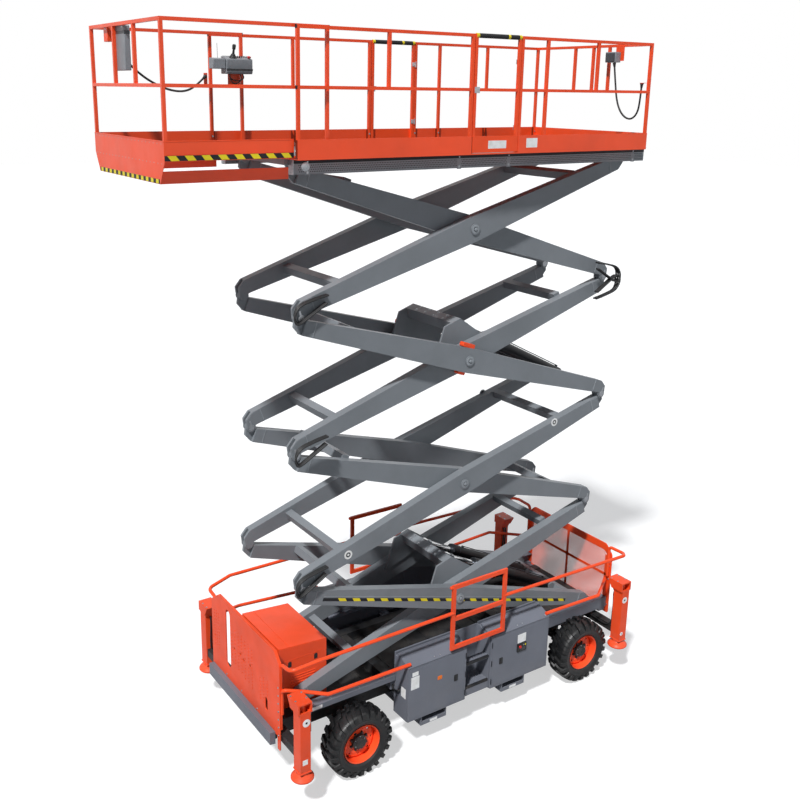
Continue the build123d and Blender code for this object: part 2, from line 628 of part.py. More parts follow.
def outrigger_housing(x):
    """The left upright tube at x, under a longer box head that flares inboard and has a window."""
    half_y, half_x = OUT_TUBE / 2, OUT_TUBE_X / 2
    y0, y1 = around(OUT_Y, half_y)
    flare, sheet, head_z = 100.0, 10.0, OUT_TOP + 52
    outline = [(y0, OUT_BOTTOM), (y1, OUT_BOTTOM), (y1, OUT_HEAD_TOP), (y0 - flare, OUT_HEAD_TOP), (y0, OUT_TOP)]
    head = plate(outline, x - OUT_HEAD_X, x + OUT_HEAD_X)
    head = head - block(around(x, OUT_HEAD_X + 1), (y0 - flare, y1 + 1), (OUT_BOTTOM - 1, head_z))
    body = join([plate(outline, x - half_x, x + half_x), head])
    bore = (around(x, half_x - OUT_WALL + 4), around(OUT_Y, half_y - OUT_WALL + 4))
    guide = (around(x, half_x - OUT_WALL + SEAT), around(OUT_Y, half_y - OUT_WALL + SEAT))
    throat = OUT_BOTTOM + 60
    body = body - block(*bore, (throat, OUT_HEAD_TOP - sheet)) - block(*guide, (OUT_BOTTOM - 1, throat + 1))
    window = (OUT_HEAD_TOP - 103, OUT_HEAD_TOP - 15)
    return body - block(around(x, OUT_HEAD_X - OUT_WALL), (OUT_Y, y1 + 1), window)


def outrigger_leg(x):
    """The left sliding leg at x, with its round domed foot and its leg cylinder's round top."""
    half_y, half_x = OUT_TUBE / 2 - OUT_WALL, OUT_TUBE_X / 2 - OUT_WALL
    leg_top = OUT_HEAD_TOP - 175
    leg = block(around(x, half_x), around(OUT_Y, half_y), (FOOT_Z + 50, leg_top))
    ram = along_z((x, OUT_Y), half_x - 4, leg_top - 1, OUT_HEAD_TOP - 35)
    dome = [(0, FOOT_Z), (FOOT_R - 8, FOOT_Z), (FOOT_R, FOOT_Z + 10), (FOOT_R, FOOT_Z + 24),
            (FOOT_R - 18, FOOT_Z + 48), (FOOT_R - 52, FOOT_Z + 68), (70, FOOT_Z + 76), (0, FOOT_Z + 76)]
    face = Plane.XZ * make_face(Polyline(*dome, close=True))
    foot = Pos(x, OUT_Y, 0) * revolve(face, axis=Axis.Z, revolution_arc=360)
    return join([leg, ram, foot])


def hood():
    """The engine hood's lower body, open below and above."""
    x0, x1 = HOOD
    outer = block((x0, x1), around(0, HOOD_Y), (RAIL_Z1, HOOD_LID_Z - SEAT))
    return outer - block((x0 + SHEET, x1 - SHEET), around(0, HOOD_Y - SHEET), (RAIL_Z1 - 1, HOOD_LID_Z))


def hood_lid():
    """The hood's lid, whose top rises towards the front."""
    def wedge(inset, floor):
        x0, x1 = HOOD[0] + inset, HOOD[1] - inset
        outline = [(x0, floor), (x1, floor), (x1, HOOD_TOP[1] - inset), (x0, HOOD_TOP[0] - inset)]
        return slab(outline, -HOOD_Y + inset, HOOD_Y - inset)

    return wedge(0, HOOD_LID_Z) - wedge(SHEET, HOOD_LID_Z - 1)


def engine():
    length, width, height = ENGINE
    return block(around(sum(HOOD) / 2, length / 2), around(0, width / 2), (RAIL_Z1, RAIL_Z1 + height))


def front_plate():
    """The guard plate across the nose, with a tall slot, an oblong port and a low flange on its left."""
    z0, z1 = PLATE_Z
    flange_w, flange_h, corner = 60.0, 165.0, 120.0
    outline = [(PLATE_FAR_Y, z0), (PLATE_Y - flange_w, z0), (PLATE_Y - flange_w, z0 - flange_h),
               (PLATE_Y, z0 - flange_h), (PLATE_Y, z1 - corner), (PLATE_Y - corner, z1),
               (PLATE_FAR_Y + 200, z1), (PLATE_FAR_Y, z1 - 145)]
    body = plate(outline, PLATE_X, PLATE_X + PLATE_T)
    through = (PLATE_X - 1, PLATE_X + PLATE_T + 1)
    slot = block(through, (PLATE_FAR_Y + 400, PLATE_FAR_Y + 515), (z0 + 185, z1 - 85))
    port = block(through, around(PLATE_Y - 318, 28), around(z0 + 250, 80))
    return body - slot - port


def bumper():
    """An angle bar across the nose."""
    z0, z1 = BUMPER_Z
    x0 = PLATE_X + PLATE_T
    shape = [(x0, z0), (BUMPER_X, z0 + 10), (BUMPER_X, z1), (x0, z1)]
    return slab(shape, PLATE_FAR_Y + 25, PLATE_Y - 109)


def rear_panel():
    z0, z1 = PANEL_Z
    corner = 120.0
    outline = [(-PANEL_Y, z0), (PANEL_Y, z0), (PANEL_Y, z1 - corner), (PANEL_Y - corner, z1),
               (-PANEL_Y + corner, z1), (-PANEL_Y, z1 - corner)]
    return plate(outline, PANEL_X, PANEL_X + PLATE_T)


def guard_rail():
    """The left side's tube rails and the square frame over the steps."""
    y, r = GUARD_Y, GUARD_R
    x0, x1 = FRAME_X
    z0, z1 = FRAME_Z
    bar, half_t = FRAME_BAR, 14.0
    width = around(y, half_t)
    ends = (x0 - bar / 2, x1 + bar / 2)
    parts = [block(around(x, bar / 2), width, FRAME_Z) for x in FRAME_X]
    for z in (z0, GUARD_UP_Z - 105, z1 - bar):
        parts.append(block(ends, width, (z, z + bar)))

    up, low = GUARD_UP_Z, GUARD_LOW_Z
    nose = PLATE_X - r - SEAT
    parts.append(pipe([(x1 - 5, y, up), (nose - 320, y, up), (nose, y - 60, up - 60),
                       (nose, PLATE_Y - 30, up - 90), (nose, PLATE_Y - 30, low + 70)], r, 80))
    slope = atan2(CAB_Z1 - CAB_SHOULDER, CAB_Y1 - CAB_TOP_Y)
    inset = 25.0             # the low rails' ends lie on the cabinets' sloped lids
    lid = (CAB_Y1 - inset, CAB_SHOULDER + inset * tan(slope) + (r + SEAT) / cos(slope))
    parts.append(pipe([(FRONT_CAB[1] - 40, *lid), (nose - 430, y, low + 20),
                       (nose - 210, y - 105, low + 70), (nose, y - 215, low + 100),
                       (nose, PLATE_Y - 8, low + 50), (nose, PLATE_Y - 8, low - 225)], r, [110, 90, 35, 30]))
    tail = PANEL_X + PLATE_T + r + SEAT
    parts.append(pipe([(x0 + 5, y, up), (tail + 60, y, up - 40), (tail, y - 70, up - 50),
                       (tail, PANEL_Y - 40, up - 60), (tail, PANEL_Y - 40, low - 15)], r, 50))
    parts.append(pipe([(REAR_CAB[0] + 40, *lid), (OUT_REAR_X + 330, y, low - 20),
                       (tail, PANEL_Y - 70, low - 60), (tail, PANEL_Y - 70, low - 315)], r, 45))
    return join(parts)


# ---- platform
def post(x, y, z0, z1):
    return block(around(x, RAIL_SQ / 2), around(y, RAIL_SQ / 2), (z0, z1))


def rail_x(x0, x1, y, z):
    """A square rail along the machine, its top face at z."""
    return block((x0, x1), around(y, RAIL_SQ / 2), (z - RAIL_SQ, z))


def rail_cross(x, y, z):
    """A square rail across the machine to y on both sides, its top face at z."""
    return block(around(x, RAIL_SQ / 2), around(0, y), (z - RAIL_SQ, z))


def platform_deck():
    """The main deck on its two roller tracks, with ears over the front pivots."""
    floor = DECK_Z + DECK_T
    parts = [block((DECK_REAR, DECK_FRONT), around(0, DECK_Y), (DECK_Z, floor))]
    parts += both(track(TOP_LEVEL, TRACK_REAR, TRACK_FRONT))
    low = TOP_LEVEL - (DECK_Z - TOP_LEVEL)
    parts += both(block((TRACK_FRONT - 1, DECK_FRONT - ARM_W), (TRACK_Y0, TRACK_Y1), (low, DECK_Z + 1)))
    for x in (DECK_FRONT - 30, 1100.0, 300.0):
        parts.append(block(around(x, 30), around(0, TRACK_Y0 + 1), (DECK_Z - 60, DECK_Z + 1)))
    ear = [(FRONT_X - 80, DECK_Z + 1), (FRONT_X - 45, TOP_LEVEL - 30), (FRONT_X, TOP_LEVEL - 50),
           (FRONT_X + 45, TOP_LEVEL - 30), (FRONT_X + 80, DECK_Z + 1)]
    for a, b in ((INNER_Y, INNER_Y + CHEEK), (INNER_Y + LANE_W - CHEEK, INNER_Y + LANE_W)):
        parts += both(slab(ear, a, b))
    parts += both(along_y((FRONT_X, TOP_LEVEL), PIN_R, INNER_Y, INNER_Y + LANE_W))
    toe_z = (DECK_Z, floor + TOE_H)
    for x0, x1 in ((DECK_REAR, GATE[0] - GATE_GAP), (GATE[1] + GATE_GAP, DECK_FRONT)):
        parts += both(block((x0, x1), (DECK_Y - TOE_T, DECK_Y), toe_z))
    parts.append(block((DECK_REAR, DECK_REAR + TOE_T), around(0, DECK_Y), toe_z))
    return join(parts)


def platform_rails():
    """The guard rails of the main deck."""
    floor = DECK_Z + DECK_T
    half = RAIL_SQ / 2
    y = DECK_Y - TOE_T - half
    rear = DECK_REAR + TOE_T + half
    upright = (MID_Z - 1, TOP_Z - 1)
    parts = []
    for x in (DECK_FRONT - half, GATE_FRONT_POST, GATE_REAR_POST, SLIM_POST, rear):
        parts += both(post(x, y, floor, TOP_Z - 1))
    for x in (FRONT_UPRIGHT, REAR_UPRIGHT):
        parts += both(post(x, y, *upright))
    for z in (TOP_Z, MID_Z):
        parts += both(rail_x(GATE_FRONT_POST - half, DECK_FRONT, y, z))
        parts += both(rail_x(rear - half, GATE_REAR_POST + half, y, z))
        parts.append(rail_cross(rear, y, z))
    for y_post in END_UPRIGHTS:
        parts.append(post(rear, y_post, *upright))
    hook = (rear - half, DECK_REAR + TOE_T + RAIL_SQ + 53)
    parts.append(block(hook, (y - half - 60, y - half + 1), (HOOK_Z, HOOK_Z + TOE_T)))
    return join(parts)


def gate():
    """The left swing gate, with its own toe board and hinge pins."""
    floor = DECK_Z + DECK_T
    half = RAIL_SQ / 2
    y = DECK_Y - TOE_T - half
    x0, x1 = GATE[0] + GATE_GAP, GATE[1] - GATE_GAP
    parts = [post(x, y, floor + GATE_GAP, TOP_Z - 1) for x in (x0 + half, x1 - half)]
    for z in (TOP_Z, MID_Z):
        parts.append(rail_x(x0, x1, y, z))
    parts.append(block((x0, x1), (DECK_Y - TOE_T - 1, DECK_Y), (floor + GATE_GAP, floor + TOE_H)))
    for z in (floor + 260, TOP_Z - 260):
        parts.append(along_z((x0, y - half), GATE_GAP - 2 * SEAT, *around(z, 40)))
    return join(parts)


def extension():
    """The roll-out deck with its rails, tapered front apron and side skirts."""
    floor = DECK_Z + DECK_T + EXT_GAP
    half = RAIL_SQ / 2
    y = EXT_Y - half
    skirt_y, skirt_h = TRACK_Y1 + 12, 110.0
    parts = [block((EXT_REAR, EXT_FRONT), around(0, EXT_Y), (floor, floor + 20))]
    apron = [(-EXT_Y, floor + TOE_H), (-EXT_Y, floor - 10), (-skirt_y, APRON_Z),
             (skirt_y, APRON_Z), (EXT_Y, floor - 10), (EXT_Y, floor + TOE_H)]
    parts.append(plate(apron, EXT_FRONT, EXT_FRONT + TOE_T))
    skirt = (APRON_Z, APRON_Z + skirt_h)
    parts += both(block((DECK_FRONT + 10, EXT_FRONT + 1), (skirt_y - TOE_T, skirt_y), skirt))
    toe_z = (floor, floor + TOE_H)
    parts += both(block((DECK_FRONT + 10, EXT_FRONT), (EXT_Y - TOE_T, EXT_Y), toe_z))
    for x in (EXT_FRONT - half, EXT_REAR + half):
        parts += both(post(x, y, floor, EXT_TOP - 1))
    for z in (EXT_TOP, MID_Z):
        parts += both(rail_x(EXT_REAR, EXT_FRONT, y, z))
        parts.append(rail_cross(EXT_FRONT - half, y, z))
    for y_post in EXT_UPRIGHTS:
        parts.append(post(EXT_FRONT - half, y_post, MID_Z - 1, EXT_TOP - 1))
    runner = (floor - EXT_GAP + SEAT, floor + 1)
    parts += both(block((EXT_REAR, EXT_REAR + 300), (600, 660), runner))
    bracket = around(sum(CONTROL_X[:2]) / 2, BRACKET_W / 2)
    clip = around(EXT_REAR + CABLE_CLIP_X, 20)
    for span, height in ((bracket, CONTROL_Z[1] - 20), (clip, MID_Z + 120)):
        parts.append(block(span, (-y + half - 1, -y + half + EXT_GAP), (MID_Z - RAIL_SQ, height)))
    return join(parts)


def control_boxes():
    """The control box on the right-hand rail, and two boxes that hang inside the front rail."""
    y = -EXT_Y + RAIL_SQ + EXT_GAP + SEAT
    x0, x1, x2 = CONTROL_X
    z0, z1 = CONTROL_Z
    control = join([block((x0, x1), (y, y + CONTROL_W), CONTROL_Z),
                    block((x1 - 1, x2), (y + 15, y + CONTROL_W - 15), (z0 + 50, z1 - 15))])
    inside = (EXT_FRONT - RAIL_SQ - SEAT - FLAT_BOX_T, EXT_FRONT - RAIL_SQ - SEAT)
    return [control, block(inside, FLAT_BOX_Y, FLAT_BOX_Z), block(inside, SIDE_BOX_Y, SIDE_BOX_Z)]


def rear_box():
    """The box inside the rear rail, with the plate that carries it."""
    x = DECK_REAR + TOE_T + RAIL_SQ + SEAT
    z0, z1 = REAR_BOX_Z
    return join([block((x, x + EXT_GAP), REAR_PLATE_Y, (z0 + 20, TOP_Z - 20)),
                 block((x + EXT_GAP - 1, x + 110), REAR_BOX_Y, REAR_BOX_Z)])


def cable(name, points):
    """A round cable along its route; every bend is as wide as its two runs allow."""
    radii = []
    for a, b, c in zip(points, points[1:], points[2:]):
        before, after = Vector(*b) - Vector(*a), Vector(*c) - Vector(*b)
        half_turn = radians(before.get_angle(after)) / 2
        radii.append(0.45 * min(before.length, after.length) / tan(half_turn))
    print(name, "bend radii", [round(radius) for radius in radii])
    return pipe(points, CABLE_R, radii)


def main():
    os.makedirs("parts", exist_ok=True)
    emit("chassis_frame", chassis_frame())
    emit("chassis_tracks", both(chassis_track()))
    emit("front_axle", axle(AXLE_X, True))
    emit("rear_axle", axle(-AXLE_X, False))
    for side, place in (("left", Pos(0, 0, 0)), ("right", None)):
        def placed(shape):
            """The left side's shape, mirrored for the right side."""
            return place * shape if place else mirror(shape, about=Plane.XZ)

        emit(f"{side}_knuckle", placed(knuckle()))
        for x, end in ((AXLE_X, "front"), (-AXLE_X, "rear")):
            for what, make in (("tyre", tyre), ("rim", rim), ("hub", hub)):
                emit(f"{end}_{side}_{what}", placed(Pos(x, 0, TYRE_R) * make()))
        for x, end in ((OUT_FRONT_X, "front"), (OUT_REAR_X, "rear")):
            emit(f"{end}_{side}_outrigger_leg", placed(outrigger_leg(x)))
        for span, end in ((FRONT_CAB, "front"), (REAR_CAB, "rear")):
            emit(f"{end}_{side}_cabinet_door", placed(cabinet_door(*span)))
        emit(f"{side}_gate", placed(gate()))
    emit("cabinets", both(cabinet(*FRONT_CAB)) + both(cabinet(*REAR_CAB)))
    emit("steps", both(steps()))
    emit("guard_rails", both(guard_rail()))
    emit("outrigger_housings", both(outrigger_housing(OUT_FRONT_X)) + both(outrigger_housing(OUT_REAR_X)))
    emit("fork_pockets", fork_pockets())
    emit("hood", hood())
    emit("hood_lid", hood_lid())
    emit("engine", engine())
    emit("front_guard_plate", front_plate())
    emit("front_bumper", bumper())
    emit("rear_guard_panel", rear_panel())
    for stack in range(1, STACKS + 1):
        emit(f"inner_arms_{stack}", arm_body("inner", stack))
        emit(f"outer_arms_{stack}", arm_body("outer", stack))
    for stack, name in zip(CYL_STACKS, ("lower", "upper")):
        barrels, rods = cylinders(stack)
        emit(f"{name}_cylinder_barrels", barrels)
        emit(f"{name}_cylinder_rods", rods)
    emit("platform_deck", platform_deck())
    emit("platform_rails", platform_rails())
    emit("extension", extension())
    emit("control_boxes", control_boxes())
    emit("front_cable", cable("front_cable", FRONT_CABLE))
    emit("rear_box", rear_box())
    emit("rear_cable", cable("rear_cable", REAR_CABLE))


if __name__ == "__main__":
    main()
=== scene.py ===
"""Looks of a rough-terrain scissor lift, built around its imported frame.

Laid out as an add-on and run as a script. Lengths are metres in the frame's own axes:
+X is forward, +Y is the machine's left, +Z is up.
"""

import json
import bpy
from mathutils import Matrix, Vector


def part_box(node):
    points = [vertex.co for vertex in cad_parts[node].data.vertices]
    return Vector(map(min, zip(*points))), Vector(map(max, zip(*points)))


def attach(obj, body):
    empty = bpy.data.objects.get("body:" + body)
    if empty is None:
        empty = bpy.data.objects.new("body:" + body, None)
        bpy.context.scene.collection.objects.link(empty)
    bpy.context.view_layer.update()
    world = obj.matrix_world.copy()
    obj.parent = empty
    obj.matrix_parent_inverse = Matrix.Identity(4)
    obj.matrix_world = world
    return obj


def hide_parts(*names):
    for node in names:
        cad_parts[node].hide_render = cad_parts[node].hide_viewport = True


bl_info = {
    "name": "Scissor lift looks",
    "version": (1, 0, 0),
    "blender": (4, 5, 0),
    "location": "3D View > Sidebar > Scissor lift",
    "description": "Finishes, fittings, cables and studio for a rough-terrain scissor lift",
    "category": "Object",
}

from math import atan2, cos, hypot, pi, radians, sin

import bmesh
import bpy
from mathutils import Matrix, Vector

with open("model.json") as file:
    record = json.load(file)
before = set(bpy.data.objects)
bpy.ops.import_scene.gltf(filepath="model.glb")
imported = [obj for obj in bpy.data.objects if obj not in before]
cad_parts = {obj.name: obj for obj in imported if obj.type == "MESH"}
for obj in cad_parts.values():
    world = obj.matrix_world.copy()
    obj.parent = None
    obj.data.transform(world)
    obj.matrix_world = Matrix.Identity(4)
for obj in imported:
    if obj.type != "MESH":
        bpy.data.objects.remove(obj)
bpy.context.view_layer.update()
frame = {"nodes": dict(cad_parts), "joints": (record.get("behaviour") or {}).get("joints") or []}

# ---- places read from the frame
LOW = {node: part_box(node)[0] for node in frame["nodes"]}
HIGH = {node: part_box(node)[1] for node in frame["nodes"]}
MIDDLE = {node: (LOW[node] + HIGH[node]) / 2 for node in frame["nodes"]}
PIVOT = {joint["name"]: Vector(joint["pos_m"]) for joint in frame["joints"] if "pos_m" in joint}
STACKS = (1, 2, 3, 4)
SIDES = (("left", 1), ("right", -1))
ENDS = ("front", "rear")

FRONT_X = PIVOT["lift"].x
CROSS_X = PIVOT["cross_1"].x
BASE_Z = PIVOT["lift"].z
RISE = PIVOT["link_1"].z - BASE_Z
HALF = hypot(FRONT_X - CROSS_X, RISE / 2)
TILT = atan2(RISE / 2, FRONT_X - CROSS_X)
AXLE_X = MIDDLE["front_left_tyre"].x
AXLE_Z = MIDDLE["front_left_tyre"].z
REAR_AXLE_X = MIDDLE["rear_left_tyre"].x
TYRE_R = AXLE_Z
MID_X = (AXLE_X + REAR_AXLE_X) / 2
OUTER_FACE = HIGH["outer_arms_2"].y
INNER_FACE = 0.473
DECK = LOW["left_gate"].z - 0.006
DECK_Y = HIGH["left_gate"].y
DECK_FRONT = HIGH["platform_rails"].x
EXT_FRONT = HIGH["extension"].x - 0.004
EXT_Y = HIGH["extension"].y
CAB_Y = HIGH["cabinets"].y
OUT_Y = MIDDLE["front_left_outrigger_leg"].y
PLATE_X = HIGH["front_guard_plate"].x


# ---- mesh work
class Shape:
    """A mesh under construction, in the frame's own axes."""

    def __init__(self):
        self.bm = bmesh.new()

    def _faces(self, corners, faces, tint):
        verts = [self.bm.verts.new(corner) for corner in corners]
        for face in faces:
            self.bm.faces.new([verts[i] for i in face]).material_index = tint
        return self

    def block(self, x, y, z, tint=0):
        """A box from three pairs of limits."""
        corners = [(a, b, c) for a in sorted(x) for b in sorted(y) for c in sorted(z)]
        faces = [(0, 1, 3, 2), (4, 6, 7, 5), (0, 4, 5, 1), (2, 3, 7, 6), (0, 2, 6, 4), (1, 5, 7, 3)]
        return self._faces(corners, faces, tint)

    def prism(self, outline, place, low, high, tint=0):
        """An outline of (a, b) points, solid from low to high; place turns (a, b, depth) into a point."""
        count = len(outline)
        corners = [place(a, b, low) for a, b in outline] + [place(a, b, high) for a, b in outline]
        faces = [tuple(range(count)), tuple(range(2 * count - 1, count - 1, -1))]
        faces += [(i, (i + 1) % count, count + (i + 1) % count, count + i) for i in range(count)]
        return self._faces(corners, faces, tint)

    def lathe(self, origin, axis, profile, steps=48, tint=0, closed=False):
        """A profile of (along, radius) points turned about an axis."""
        origin, axis = Vector(origin), Vector(axis).normalized()
        side = axis.orthogonal().normalized()
        other = axis.cross(side)
        rings = []
        for along, radius in profile:
            ring = []
            for step in range(steps if radius > 0 else 1):
                turn = 2 * pi * step / steps
                way = side * cos(turn) + other * sin(turn)
                ring.append(self.bm.verts.new(origin + axis * along + way * radius))
            rings.append(ring)
        pairs = list(zip(rings, rings[1:])) + ([(rings[-1], rings[0])] if closed else [])
        for a, b in pairs:
            for step in range(steps):
                following = (step + 1) % steps
                loop = [a[step % len(a)], a[following % len(a)], b[following % len(b)], b[step % len(b)]]
                corners = list(dict.fromkeys(loop))
                if len(corners) > 2:
                    self.bm.faces.new(corners).material_index = tint
        return self

    def rod(self, start, end, radius, steps=20, tint=0):
        """A round bar between two points."""
        axis = Vector(end) - Vector(start)
        profile = [(0, 0), (0, radius), (axis.length, radius), (axis.length, 0)]
        return self.lathe(start, axis, profile, steps, tint)

    def hose(self, points, radius, steps=10, tint=0, smooth=6):
        """A round tube along a smooth line through the points."""
        line = smooth_line(points, smooth)
        ways = [(b - a).normalized() for a, b in zip(line, line[1:])]
        ways = [ways[0]] + [(a + b).normalized() for a, b in zip(ways, ways[1:])] + [ways[-1]]
        side = ways[0].orthogonal().normalized()
        rings = []
        for point, way in zip(line, ways):
            side = (side - way * side.dot(way)).normalized()
            other = way.cross(side)
            turns = [2 * pi * step / steps for step in range(steps)]
            rings.append([self.bm.verts.new(point + (side * cos(t) + other * sin(t)) * radius)
                          for t in turns])
        return self.skin(rings, tint)

    def skin(self, rings, tint=0):
        """Faces between rings of vertices, closed at both ends."""
        for a, b in zip(rings, rings[1:]):
            for i in range(len(a)):
                j = (i + 1) % len(a)
                self.bm.faces.new([a[i], a[j], b[j], b[i]]).material_index = tint
        for ring in (rings[0], rings[-1]):
            self.bm.faces.new(ring).material_index = tint
        return self

    def mirror(self):
        """Adds the same shape on the machine's other side."""
        copied = bmesh.ops.duplicate(self.bm, geom=self.bm.verts[:] + self.bm.edges[:] + self.bm.faces[:])
        for part in copied["geom"]:
            if isinstance(part, bmesh.types.BMVert):
                part.co.y = -part.co.y
        return self

    def flip(self, side):
        """Moves the whole shape to the side given by the sign."""
        for vert in self.bm.verts:
            vert.co.y *= side
        return self

    def mesh(self, name):
        bmesh.ops.remove_doubles(self.bm, verts=self.bm.verts[:], dist=1e-6)
        bmesh.ops.recalc_face_normals(self.bm, faces=self.bm.faces[:])
        mesh = bpy.data.meshes.new(name)
        self.bm.to_mesh(mesh)
        self.bm.free()
        return mesh

    def done(self, name, body, finishes, slot=None, bevel=0.0, corner=32):
        """The finished piece on its body, with its finishes, rounded edges and smooth round faces."""
        mesh = self.mesh(name)
        for finish in finishes.split():
            mesh.materials.append(FINISH[finish])
        return settle(name, mesh, body, slot or slot_of(finishes.split()[0]), bevel, corner)


def link(name, data):
    """A new object in the scene, of this name and data."""
    thing = bpy.data.objects.new(name, data)
    bpy.context.scene.collection.objects.link(thing)
    return thing


def settle(name, mesh, body, slot, bevel=0.0, corner=32):
    """The mesh as a piece on its body, with rounded edges."""
    piece = link(name, mesh)
    piece.data.shade_smooth()
    piece.data.set_sharp_from_angle(angle=radians(corner))
    if bevel:
        rounding = piece.modifiers.new("rounding", "BEVEL")
        rounding.width = bevel
        rounding.segments = 2
        rounding.limit_method = "ANGLE"
        rounding.angle_limit = radians(corner)
    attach(piece, body)
    return piece


def slot_of(finish):
    """The record's slot that a finish usually belongs to."""
    kinds = (("orange rim", "orange_paint"), ("grey", "grey_paint"), ("arm arm_light", "arm_paint"),
             ("black dark_steel", "black_paint"), ("tyre_rubber", "tyre"),
             ("label grey_plastic dark_plastic amber", "box_plastic"))
    plain = finish.replace("_road", "").replace("_shade", "")
    return next((slot for names, slot in kinds if plain in names.split()), "black_plastic")


def smooth_line(points, steps):
    """Points on a smooth line through the given ones."""
    points = [Vector(p) for p in points]
    if steps < 2 or len(points) < 3:
        return points
    padded = [points[0] * 2 - points[1]] + points + [points[-1] * 2 - points[-2]]
    line = []
    for a, b, c, d in zip(padded, padded[1:], padded[2:], padded[3:]):
        for step in range(steps):
            t = step / steps
            line.append(0.5 * (2 * b + (c - a) * t + (2 * a - 5 * b + 4 * c - d) * t * t
                               + (3 * b - a - 3 * c + d) * t * t * t))
    return line + [points[-1]]


def across(a, b, depth):
    """An (x, z) outline with its depth along y."""
    return (a, depth, b)


def forward(a, b, depth):
    """A (y, z) outline with its depth along x."""
    return (depth, a, b)


def about(middle, reach):
    """The limits that lie this far each side of a middle."""
    return (middle - reach, middle + reach)


def inside(limits, low, high=None):
    """The limits drawn in at both ends, by the same reach unless a second one is given."""
    return (limits[0] + low, limits[1] - (low if high is None else high))


def box_edge(a0, a1, b0, b1):
    """A rectangle's outline from its limits."""
    return [(a0, b0), (a1, b0), (a1, b1), (a0, b1)]


# ---- geometry trees
def new_tree(name, sockets):
    """An empty geometry tree with its inputs: (name, type, default)."""
    tree = bpy.data.node_groups.new(name, "GeometryNodeTree")
    for label, kind, default in sockets:
        socket = tree.interface.new_socket(name=label, in_out="INPUT", socket_type=kind)
        if default is not None:
            socket.default_value = default
    tree.interface.new_socket(name="Geometry", in_out="OUTPUT", socket_type="NodeSocketGeometry")
    return tree


def wire(tree, *wires):
    """Joins sockets: (node, output, node, input) each."""
    for source, output, target, entry in wires:
        tree.links.new(source.outputs[output], target.inputs[entry])


def place_units(tree, inputs, source, points):
    """Sets the unit at every point, and ends the tree in Realize Instances and Set Material."""
    unit = tree.nodes.new("GeometryNodeObjectInfo")
    place = tree.nodes.new("GeometryNodeInstanceOnPoints")
    real = tree.nodes.new("GeometryNodeRealizeInstances")
    paint = tree.nodes.new("GeometryNodeSetMaterial")
    out = tree.nodes.new("NodeGroupOutput")
    wire(tree, (inputs, "Unit", unit, "Object"), (source, points, place, "Points"),
         (unit, "Geometry", place, "Instance"), (place, "Instances", real, 0), (real, 0, paint, "Geometry"),
         (inputs, "Finish", paint, "Material"), (paint, 0, out, 0))
    return place


def marked_tree():
    """One unit at each vertex of the base mesh, turned as the vertex's "turn" says."""
    tree = new_tree("units_at_marks", [
        ("Geometry", "NodeSocketGeometry", None), ("Unit", "NodeSocketObject", None),
        ("Finish", "NodeSocketMaterial", None)])
    inputs = tree.nodes.new("NodeGroupInput")
    turn = tree.nodes.new("GeometryNodeInputNamedAttribute")
    turn.data_type = "FLOAT_VECTOR"
    turn.inputs["Name"].default_value = "turn"
    place = place_units(tree, inputs, inputs, "Geometry")
    wire(tree, (turn, "Attribute", place, "Rotation"))
    return tree


def row_tree():
    """A straight row of one unit, from First by Step."""
    tree = new_tree("units_in_a_row", [
        ("Unit", "NodeSocketObject", None), ("Count", "NodeSocketInt", 2),
        ("First", "NodeSocketVector", None), ("Step", "NodeSocketVector", None),
        ("Finish", "NodeSocketMaterial", None)])
    inputs = tree.nodes.new("NodeGroupInput")
    line = tree.nodes.new("GeometryNodeMeshLine")
    line.mode = "OFFSET"
    place_units(tree, inputs, line, "Mesh")
    wire(tree, (inputs, "Count", line, "Count"), (inputs, "First", line, "Start Location"),
         (inputs, "Step", line, "Offset"))
    return tree


TREE = {}


def grown(name, kind, base, values):
    """The plain mesh that a tree makes on a base object."""
    if kind not in TREE:
        TREE[kind] = {"marks": marked_tree, "row": row_tree}[kind]()
    tree = TREE[kind]
    grower = base.modifiers.new("grower", "NODES")
    grower.node_group = tree
    for label, value in values.items():
        grower[tree.interface.items_tree[label].identifier] = value
    base.update_tag()
    view = bpy.context.evaluated_depsgraph_get()
    mesh = bpy.data.meshes.new_from_object(base.evaluated_get(view))
    bpy.data.objects.remove(base)
    mesh.name = name
    return mesh


def at_marks(name, body, shape, marks, finish, slot=None, corner=32):
    """Copies of a shape at (point, turn) marks, as one piece."""
    unit = link("unit", shape.mesh("unit"))
    points = bpy.data.meshes.new(name)
    points.from_pydata([point for point, turn in marks], [], [])
    turns = points.attributes.new("turn", "FLOAT_VECTOR", "POINT")
    turns.data.foreach_set("vector", [value for point, turn in marks for value in turn])
    mesh = grown(name, "marks", link(name, points), {"Unit": unit, "Finish": FINISH[finish]})
    bpy.data.objects.remove(unit)
    return settle(name, mesh, body, slot or slot_of(finish), corner=corner)


def in_row(name, body, shape, count, first, step, finish, slot=None):
    """A straight row of copies of a shape, as one piece."""
    unit = link("unit", shape.mesh("unit"))
    values = {"Unit": unit, "Count": count, "First": first, "Step": step, "Finish": FINISH[finish]}
    mesh = grown(name, "row", link(name, bpy.data.meshes.new(name)), values)
    bpy.data.objects.remove(unit)
    return settle(name, mesh, body, slot or slot_of(finish))


def mirrored_marks(marks):
    """The marks and their mirror images on the other side, for units that look the same both ways."""
    flipped = [((x, -y, z), (-a, b, -c)) for (x, y, z), (a, b, c) in marks]
    return marks + flipped


def rows_on_both_sides(name, body, unit_for, count, first, step, finish):
    """A row on the left at First and its mirror image on the right; unit_for(way) makes the unit."""
    x, y, z = first
    for side, way in SIDES:
        in_row(f"{name}_{side}", body, unit_for(way), count, (x, way * y, z), step, finish, "orange_paint")


